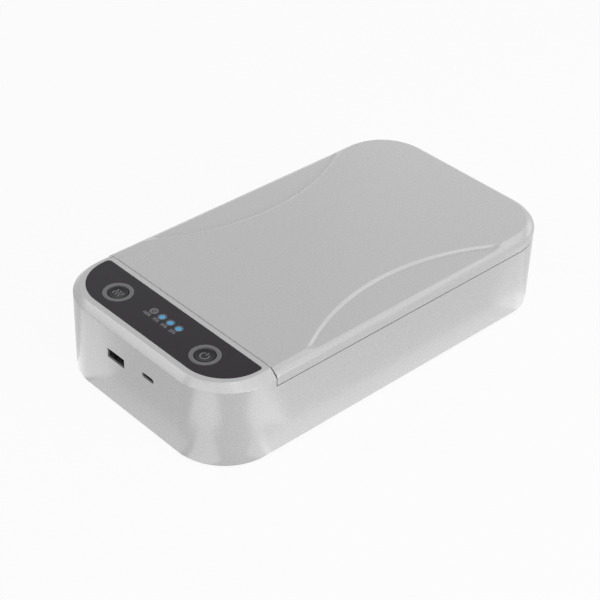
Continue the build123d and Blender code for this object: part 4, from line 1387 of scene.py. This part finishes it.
# ---- Hinges --------------------------------------------------------------------------------------
@dataclass
class Hinges:
    """Two moulded hinges with steel pins."""

    sites: Pair = (-26.0, 26.0)
    y: float = 113.75
    z: float = 36.7
    knuckle_r: float = 2.5
    pin_r: float = 1.0
    lid_length: float = 12.0
    case_length: float = 5.0
    room: float = 0.3
    edge: float = 0.3
    pin_edge: float = 0.2
    case_gap: float = 0.02
    lid_gap: float = 0.05
    web: Pair = (-2.0, -0.02)
    web_top: float = 41.0
    knuckle_steps: int = 48
    pin_steps: int = 32

    def knuckle(self, length: float, bore: float) -> Piece:
        """Ring that lies along the x axis.

        Args:
            length: Its length.
            bore: Radius of its bore.

        Returns:
            The ring, round the origin.
        """
        half, width = length / 2, self.edge
        steps = [(0, width), (width * EASE, width * EASE), (width, 0)]
        upper = [*soft_edge(self.knuckle_r, half, steps), (bore, half)]
        lower = [(radius, -z) for radius, z in upper[::-1]]
        return laid(turned("knuckle", lower + upper, loop=True, steps=self.knuckle_steps), "Y")

    def build(self) -> None:
        """Builds the knuckles and the pins."""
        reach = self.lid_length / 2 + self.room + self.case_length / 2
        case_sites = [(x + side * reach, self.y, self.z) for x in self.sites for side in (-1, 1)]
        middles = [(x, self.y, self.z) for x in self.sites]
        case_knuckle = self.knuckle(self.case_length, self.pin_r + self.case_gap)
        repeat("case_knuckles", case_knuckle, case_sites, Finishes.PAINT, "case")

        half, bore_r = self.lid_length / 2, self.pin_r + self.lid_gap
        lid_knuckle = self.knuckle(self.lid_length, bore_r)
        web = block("web", (-half, half), self.web, (0.0, self.web_top - self.z))
        combine(lid_knuckle, [web], Way.ADDED)
        end = half + 2 * PAST
        bore = turned("bore", [(bore_r, -end), (bore_r, end)], steps=self.knuckle_steps)
        combine(lid_knuckle, [laid(bore, "Y")])
        repeat("lid_knuckles", lid_knuckle, middles, Finishes.PAINT, "lid")

        half += self.room + self.case_length
        upper = [*soft_edge(self.pin_r, half, [(0, self.pin_edge), (self.pin_edge, 0)]), (0, half)]
        lower = [(radius, -z) for radius, z in upper[::-1]]
        pin = laid(turned("pin", lower + upper, steps=self.pin_steps), "Y")
        repeat("hinge_pins_dressed", pin, middles, Finishes.GROUND, "case", ["hinge_pins"])


# ---- Screws --------------------------------------------------------------------------------------
@dataclass
class Screws:
    """Cross-headed screws of the bottom cover, the tray and the lid's liner."""

    # Node, body, places on the right side, radius and height of the head, radius of the shank, and
    # whether the head looks up.
    kinds: Table = (
        ("bottom_screws", "case", ((50.72, -104.17), (57.6, -1.25), (50.72, 101.67)), 2.5, 1.2, 1.3, False),
        ("tray_screws", "case", ((57.6, -68.11), (50.72, 101.67)), 2.5, 1.2, 1.3, True),
        ("lid_liner_screws", "lid", ((57.4, -67.11), (57.4, 8.97), (57.4, 85.05)), 1.9, 0.8, 1.0, False),
    )
    # Insets and drops of the head's edge, and its soft lower edge.
    head_edge: tuple[Pair, ...] = ((0, 0.35), (0.1, 0.12), (0.35, 0))
    head_foot: float = 0.1
    tip_length: float = 0.5
    tip_share: float = 0.6
    # Half length, half width and foot of the cross, as shares of the head's radius or height.
    cross: tuple[float, float, float] = (0.45, 0.09, 0.45)
    steps: int = 32

    def pattern(self, head: float, height: float, shank: float, length: float) -> Piece:
        """One screw, with its seat at the origin and its head up.

        Args:
            head: Radius of the head.
            height: Height of the head.
            shank: Radius of the shank.
            length: Length under the head.

        Returns:
            The screw.
        """
        tip, foot = self.tip_length, self.head_foot
        screw = turned("screw", [
            (0, -length), (shank * self.tip_share, -length), (shank, -length + tip), (shank, 0),
            (head - foot, 0), (head, foot), *soft_edge(head, height, self.head_edge), (0, height),
        ], steps=self.steps)
        arm, slot = head * self.cross[0], head * self.cross[1]
        for x, y in ((arm, slot), (slot, arm)):
            combine(screw, [block("drive", (-x, x), (-y, y), (height * self.cross[2], height + PAST))])
        return screw

    def build(self) -> None:
        """Builds every set of screws."""
        for node, body, places, head, height, shank, upward in self.kinds:
            low, high = (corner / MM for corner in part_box(node))
            seat = high.z - height if upward else low.z + height
            sites = [(side * x, y, seat) for x, y in places for side in (-1, 1)]
            pattern = self.pattern(head, height, shank, high.z - low.z - height)
            turn = 0.0 if upward else 180.0
            repeat(f"{node}_crossed", pattern, sites, Finishes.ZINC, body, [node], turn)


# ---- Control panel -------------------------------------------------------------------------------
@dataclass
class ControlPanel:
    """Dark panel with two ringed buttons, four lights and their numbers."""

    case: Case
    base: float = 47.3
    face: float = 47.9
    ring_top: float = 48.0
    ring_r: float = 7.7
    cap_r: float = 5.1
    cap_top: float = 47.7
    light_y: float = -94.35
    light_pitch: float = 6.04
    lit_r: float = 1.72
    unlit_r: float = 1.2
    bezel_r: float = 2.25
    number_y: float = -98.1
    number_size: float = 2.5
    number_end: float = 1.7
    numbers: tuple[str, ...] = ("100%", "75%", "50%", "25%")
    number_bold: float = 0.06
    number_spacing: float = 0.95
    mark_line: float = 0.6
    ink: float = 0.02
    hole_gap: float = 0.05
    bezel_gap: float = 0.03
    ring_edge: float = 0.3
    bezel_edge: float = 0.12
    # Insets and drops of the soft edges of plate, caps and lights.
    plate_edge: tuple[Pair, ...] = ((0, 0.15), (0.05, 0.04), (0.15, 0))
    cap_edge: tuple[Pair, ...] = ((0, 0.45), (0.12, 0.15), (0.45, 0), (1.0, 0.06), (1.5, 0.19), (1.9, 0.25))
    light_edge: tuple[Pair, ...] = ((0, 0.35), (0.12, 0.12), (0.4, 0.02), (0.8, 0))
    # Radius and height of the corners of a cap's stem and collar, from the stem's foot.
    cap_stem: tuple[Pair, ...] = ((0, 40.5), (2.0, 40.5), (2.0, 44.7), (6.2, 44.7), (6.2, 45.5))
    light_foot: float = 40.0
    hole_steps: int = 64
    cap_steps: int = 72
    light_steps: int = 32

    def lights(self) -> list[float]:
        """Places of the lights across the box."""
        half = (len(self.numbers) - 1) / 2
        return [(place - half) * self.light_pitch for place in range(len(self.numbers))]

    def plate(self) -> Piece:
        """Builds the panel's plate with its holes.

        Returns:
            The plate.
        """
        draft = Draft("control_panel_plate")
        levels = [(0, self.base), *((inset, self.face - drop) for inset, drop in self.plate_edge)]
        rings = [draft.ring([(*point, z) for point in self.case.panel_outline(-inset)])
                 for inset, z in levels]
        draft.skin(rings)
        plate = draft.object()
        case, z = self.case, (self.base - PAST, self.face + PAST)
        holes = [(sign * case.button_x, case.button_y, self.ring_r + self.hole_gap) for sign in (-1, 1)]
        holes += [(x, self.light_y, self.bezel_r + self.bezel_gap) for x in self.lights()]
        combine(plate, [prism("hole", disc_outline(*hole, self.hole_steps), z) for hole in holes])
        smooth(plate)
        return plate

    def trim(self, outer: float, inner: float, crown: float) -> Piece:
        """Flat ring with soft edges.

        Args:
            outer: Outer radius.
            inner: Inner radius.
            crown: Width of its soft edges.

        Returns:
            The ring, round the origin.
        """
        top, ease = self.ring_top, crown * EASE
        steps = [(0, crown), (ease, ease), (crown, 0)]
        profile = [(inner, self.base), (outer, self.base), *soft_edge(outer, top, steps)]
        profile += [(inner + inset, top - drop) for inset, drop in steps[::-1]]
        return turned("trim", profile, loop=True)

    def cap(self, side: str, x: float) -> None:
        """Builds one button's cap with its collar and stem.

        Args:
            side: Side of the button.
            x: Its place across the box.
        """
        edge = soft_edge(self.cap_r, self.cap_top, self.cap_edge)
        profile = [*self.cap_stem, (self.cap_r, self.cap_stem[-1][1]), *edge, (0, edge[-1][1])]
        cap = move(turned(f"{side}_cap", profile, steps=self.cap_steps), (x, self.case.button_y, 0))
        smooth(cap)
        dress(cap, Finishes.CAP, f"{side}_button", [f"{side}_button_cap"])

    def number(self, text: str, x: float) -> Piece:
        """Number of thin ink in front of a light.

        Args:
            text: The number.
            x: Its place across the box.

        Returns:
            The number.
        """
        curve = bpy.data.curves.new("number", "FONT")
        curve.body, curve.size, curve.extrude = text, self.number_size * MM, self.ink / 2 * MM
        curve.offset, curve.space_character = self.number_bold * MM, self.number_spacing
        curve.align_x, curve.align_y = "RIGHT", "CENTER"
        holder = new_object("number", curve)
        mesh = result_mesh(holder)
        bpy.data.objects.remove(holder)
        bpy.data.curves.remove(curve)
        number = new_object(f"number_{text[:-1]}", mesh)
        return move(number, (x + self.number_end, self.number_y, self.face + self.ink / 2 - SINK))

    def mark(self, side: str, lines: Sequence[Sequence[Pair]]) -> None:
        """Puts a mark of thin ink lines in a cap's dish.

        Args:
            side: Side of the button.
            lines: Points of each line, round the cap's middle.
        """
        draft = Draft(f"{side}_mark")
        low = self.cap_top - self.cap_edge[-1][1] - SINK
        high = low + self.ink
        sign = -1 if side == "left" else 1
        for points in lines:
            rows = []
            for place, (x, y) in enumerate(points):
                before, after = points[max(place - 1, 0)], points[min(place + 1, len(points) - 1)]
                reach = self.mark_line / 2 / math.dist(before, after)
                across = ((before[1] - after[1]) * reach, (after[0] - before[0]) * reach)
                left, right = ((x + way * across[0], y + way * across[1]) for way in (1, -1))
                rows.append(draft.ring([(*left, low), (*right, low), (*right, high), (*left, high)]))
            draft.skin(rows)
        mark = move(draft.object(), (sign * self.case.button_x, self.case.button_y, 0))
        dress(mark, Finishes.INK, f"{side}_button")

    def marks(self) -> None:
        """Puts a power mark on the right cap and three wavy lines on the left one."""
        radius, shift, first, last, pitch = 2.2, 0.2, 35, 325, 10
        turns = [math.radians(turn) for turn in range(first, last + 1, pitch)]
        arc = [(radius * math.sin(turn), radius * math.cos(turn) - shift) for turn in turns]
        stem = [(0, 2.6), (0, 0.4)]
        self.mark("right", [arc, stem])
        swing, turn_per_mm, gap, half, step = 0.5, 1.9, 1.9, 10, 0.2
        ys = [place * step for place in range(-half, half + 1)]
        wave = [(swing * math.sin(y * turn_per_mm), y) for y in ys]
        self.mark("left", [[(x + way, y) for way, y in wave] for x in (-gap, 0, gap)])

    def build(self) -> None:
        """Builds the panel's pieces."""
        dress(self.plate(), Finishes.PANEL, "case", ["control_panel"])
        buttons = {"left": -self.case.button_x, "right": self.case.button_x}
        sites = [(x, self.case.button_y, 0) for x in buttons.values()]
        ring = self.trim(self.ring_r, self.case.cap_room, self.ring_edge)
        repeat("button_rings_dressed", ring, sites, Finishes.RING, "case", ["button_rings"])
        unlit, *lit = [(x, self.light_y, 0) for x in self.lights()]
        for name, sites, radius in (("lit_bezels", lit, self.lit_r), ("unlit_bezel", [unlit], self.unlit_r)):
            bezel = self.trim(self.bezel_r, radius + self.bezel_gap, self.bezel_edge)
            repeat(name, bezel, sites, Finishes.RING, "case", ["led_bezels"])
        for side, x in buttons.items():
            self.cap(side, x)
        for name, sites, radius, finish, slot, node in (
            ("lit_lights", lit, self.lit_r, Finishes.LIT, "light_blue", "lit_light_guides"),
            ("unlit_light", [unlit], self.unlit_r, Finishes.UNLIT, "light_off", "unlit_light_guide"),
        ):
            foot = [(0, self.light_foot), (radius, self.light_foot)]
            edge = soft_edge(radius, self.face, self.light_edge)
            rod = turned("rod", [*foot, *edge, (0, self.face)], steps=self.light_steps)
            repeat(name, rod, sites, finish, "case", [node])
        for text, x in zip(self.numbers, self.lights()):
            dress(self.number(text, x), Finishes.INK, "case")
        self.marks()


# ---- Other pieces --------------------------------------------------------------------------------
@dataclass
class Inside:
    """Chamber, lamps, boards, sockets and small parts, which keep the solids' own shapes."""

    finishes: dict[str, Finishes] = field(default_factory=lambda: {
        "foot_rubber": Finishes.RUBBER, "liner_white": Finishes.LINER, "aroma_felt": Finishes.FELT,
        "lamp_glass": Finishes.QUARTZ, "reflector_sheet": Finishes.SHEET, "screw_steel": Finishes.ZINC,
        "pin_steel": Finishes.GROUND, "socket_steel": Finishes.NICKEL, "magnet_nickel": Finishes.NICKEL,
        "part_black": Finishes.BLACK, "plunger_white": Finishes.NYLON, "board_green": Finishes.BOARD,
        "coil_copper": Finishes.COPPER, "case_silver": Finishes.PAINT, "cover_gray": Finishes.COVER,
        "lid_silver": Finishes.PAINT, "panel_black": Finishes.PANEL, "ring_gray": Finishes.RING,
        "button_dark": Finishes.CAP, "light_blue": Finishes.LIT, "light_off": Finishes.UNLIT,
    })
    soft_edges: dict[str, float] = field(default_factory=lambda: {
        "chamber_tray": 0.15, "phone_rest_rails": 0.5, "rubber_feet": 0.4, "aroma_cover": 0.15,
    })

    def build(self) -> None:
        """Gives every solid its finish and reports it, and gives soft edges to those that show."""
        slots = {part["node"]: part["material_slot"] for part in frame["record"]["subparts"]}
        groups = frame["record"]["behaviour"]["bodies"]
        bodies = {node: body for body, nodes in groups.items() for node in nodes}
        for node, solid in frame["nodes"].items():
            finish = self.finishes[slots[node]]
            solid.data.materials.clear()
            solid.data.materials.append(finish.material)
            LOG.info("%s: %s, on the %s", node, finish.value.name, bodies[node].replace("_", " "))
        for node, width in self.soft_edges.items():
            dress(refined(node, width), self.finishes[slots[node]], bodies[node], [node])


# ---- Studio --------------------------------------------------------------------------------------
def direction(azimuth: float, elevation: float) -> Vector:
    """Direction from the box, by its angle from -y towards +x and its angle upwards, in degrees."""
    az, el = math.radians(azimuth), math.radians(elevation)
    return Vector((math.sin(az) * math.cos(el), -math.cos(az) * math.cos(el), math.sin(el)))


@dataclass
class Studio:
    """Camera, floor and lights."""

    azimuth: float = 45.986
    elevation: float = 35.861
    roll: float = 2.165
    distance: float = 828.73
    target: tuple[float, float, float] = (3.233, -11.331, 22.208)
    lens: float = 98.90
    sensor: float = 36.0
    sight: float = 20.0
    surround: float = 0.346
    table_hex: str = "D2D2D2"
    seen_hex: str = "F4F4F4"
    seen_shade: float = 0.08
    floor_half: float = 3000.0
    floor_depth: float = 10.0
    strip_z: float = 0.3
    # Name, azimuth, elevation, distance, size and power of each lamp round the box.
    lamps: Table = (
        ("low_rear_left", 230, 14, 1500, (1300, 700), 1.55),
        ("low_rear", 172, 14, 1500, (700, 400), 0.64),
        ("right", 95, 46, 1500, (1100, 800), 1.45),
        ("low_right", 95, 18, 1500, (900, 400), 9.36),
        ("front_right", 50, 46, 1500, (1100, 900), 1.58),
        ("front", 5, 30, 1500, (1000, 700), 1.60),
        ("front_left", 315, 34, 1500, (900, 900), 2.52),
        ("near_rear", 160, 45, 480, (260, 260), 0.10),
        ("near_rear_left", 205, 35, 420, (200, 200), 0.011),
        ("near_low_rear", 185, 18, 420, (260, 120), 0.017),
        ("rim_right", 134, 36, 1500, (420, 420), 0.28),
    )
    # Name, place, turn, size and brightness of each strip on the table.
    strips: Table = (
        ("right_near", 68.8, 10.0, 0, (12, 190), 0.35),
        ("right_far", 83.0, 10.0, 0, (16, 190), 0.032),
        ("right_front_near", 75.0, -85.9, 116, (16, 22), 0.31),
        ("right_front_far", 103.8, -71.9, 116, (42, 42), 0.58),
        ("corner_near", 51.6, -125.0, 14, (20, 24), 0.40),
        ("corner_far", 60.1, -159.0, 14, (50, 44), 0.65),
        ("front_near", 0.0, -122.3, 0, (70, 12), 0.24),
        ("left_corner", -64.0, -134.5, -58, (28, 60), 0.62),
        ("rear_corner", 79.8, 117.4, 150, (26, 62), 0.35),
    )

    def camera(self) -> None:
        """Sets the camera."""
        roll = math.radians(self.roll)
        back = direction(self.azimuth, self.elevation)
        ahead = -back
        right = ahead.cross(Vector((0, 0, 1))).normalized()
        up = right.cross(ahead)
        side = right * math.cos(roll) + up * math.sin(roll)
        top = -right * math.sin(roll) + up * math.cos(roll)
        data = bpy.data.cameras.new("camera")
        data.lens, data.sensor_width, data.clip_end = self.lens, self.sensor, self.sight
        holder = new_object("camera", data)
        turn = Matrix((side, top, -ahead)).transposed().to_4x4()
        place = (Vector(self.target) + back * self.distance) * MM
        holder.matrix_world = Matrix.Translation(place) @ turn
        bpy.context.scene.camera = holder

    def seen(self, tree: Tree) -> Socket:
        """Adds the nodes that tell whether a surface is seen, straight or in gloss or glass.

        Args:
            tree: The tree of a material or of the world.

        Returns:
            The output, 1 where it is seen.
        """
        path = add_node(tree, "ShaderNodeLightPath").outputs
        seen = path["Is Camera Ray"]
        for ray in ("Is Glossy Ray", "Is Transmission Ray"):
            either = add_node(tree, "ShaderNodeMath", {"operation": "MAXIMUM"}, {0: seen, 1: path[ray]})
            seen = either.outputs[0]
        return seen

    def floor(self) -> None:
        """Sets the pale floor, which shows a faint shadow of the box."""
        span = (-self.floor_half, self.floor_half)
        floor = block("floor", span, span, (-self.floor_depth, 0))
        material = bpy.data.materials.new("pale_floor")
        material.use_nodes = True
        tree = material.node_tree
        tree.nodes.clear()
        white = add_node(tree, "ShaderNodeEmission", {"Color": (1, 1, 1, 1), "Strength": 1.0})
        bright = add_node(tree, "ShaderNodeBsdfDiffuse", {"Color": linear(self.seen_hex)})
        dim = add_node(tree, "ShaderNodeBsdfDiffuse", {"Color": linear(self.table_hex)})
        table = add_node(tree, "ShaderNodeMixShader", {0: self.seen_shade}, {
            1: white.outputs[0], 2: bright.outputs[0],
        })
        mixed = add_node(tree, "ShaderNodeMixShader", links={
            0: self.seen(tree), 1: dim.outputs[0], 2: table.outputs[0],
        })
        add_node(tree, "ShaderNodeOutputMaterial", links={"Surface": mixed.outputs[0]})
        floor.data.materials.append(material)

    def world(self) -> None:
        """Sets a plain surround that is white to the camera."""
        world = bpy.data.worlds.new("surround")
        bpy.context.scene.world = world
        world.use_nodes = True
        tree = world.node_tree
        tree.nodes.clear()
        level = add_node(tree, "ShaderNodeMapRange", {"To Min": self.surround, "To Max": 1.0},
                         {"Value": self.seen(tree)})
        light = add_node(tree, "ShaderNodeBackground", {"Color": (1, 1, 1, 1)}, {
            "Strength": level.outputs[0],
        })
        add_node(tree, "ShaderNodeOutputWorld", links={"Surface": light.outputs[0]})

    def lamp(self, name: str, size: Pair, power: float, place: Matrix) -> None:
        """Sets a rectangular lamp that the camera doesn't see.

        Args:
            name: Name of the lamp.
            size: Its width and height.
            power: Its power in watts.
            place: Its place and turn.
        """
        data = bpy.data.lights.new(name, "AREA")
        data.shape, data.energy = "RECTANGLE", power
        data.size, data.size_y = size[0] * MM, size[1] * MM
        holder = new_object(name, data)
        holder.matrix_world = place
        holder.visible_camera = False

    def lights(self) -> None:
        """Sets the lamps round the box and the strips that lie on the table near it."""
        for name, azimuth, elevation, distance, size, power in self.lamps:
            way = direction(azimuth, elevation)
            place = Matrix.Translation((Vector(self.target) + way * distance) * MM)
            self.lamp(name, size, power, place @ way.to_track_quat("Z", "Y").to_matrix().to_4x4())
        for name, x, y, turn, size, glow in self.strips:
            place = Matrix.Translation(Vector((x, y, self.strip_z)) * MM)
            upward = Matrix.Rotation(math.radians(turn), 4, "Z") @ Matrix.Rotation(math.pi, 4, "X")
            power = glow * math.pi * size[0] * size[1] * MM * MM
            self.lamp(name, size, power, place @ upward)

    def build(self) -> None:
        """Sets the whole studio."""
        bpy.context.scene.view_settings.view_transform = "Standard"
        self.camera()
        self.floor()
        self.world()
        self.lights()
        LOG.info("studio: camera, floor, lamps")


def main() -> None:
    """Builds every part of the box and the studio in order."""
    logging.basicConfig(level=logging.INFO, format="%(name)s: %(message)s")
    form = CaseForm()
    case = Case(form)
    Inside().build()
    case.build()
    Lid(form).build()
    Hinges().build()
    Screws().build()
    ControlPanel(case).build()
    Studio().build()


if __name__ == "__main__":
    main()
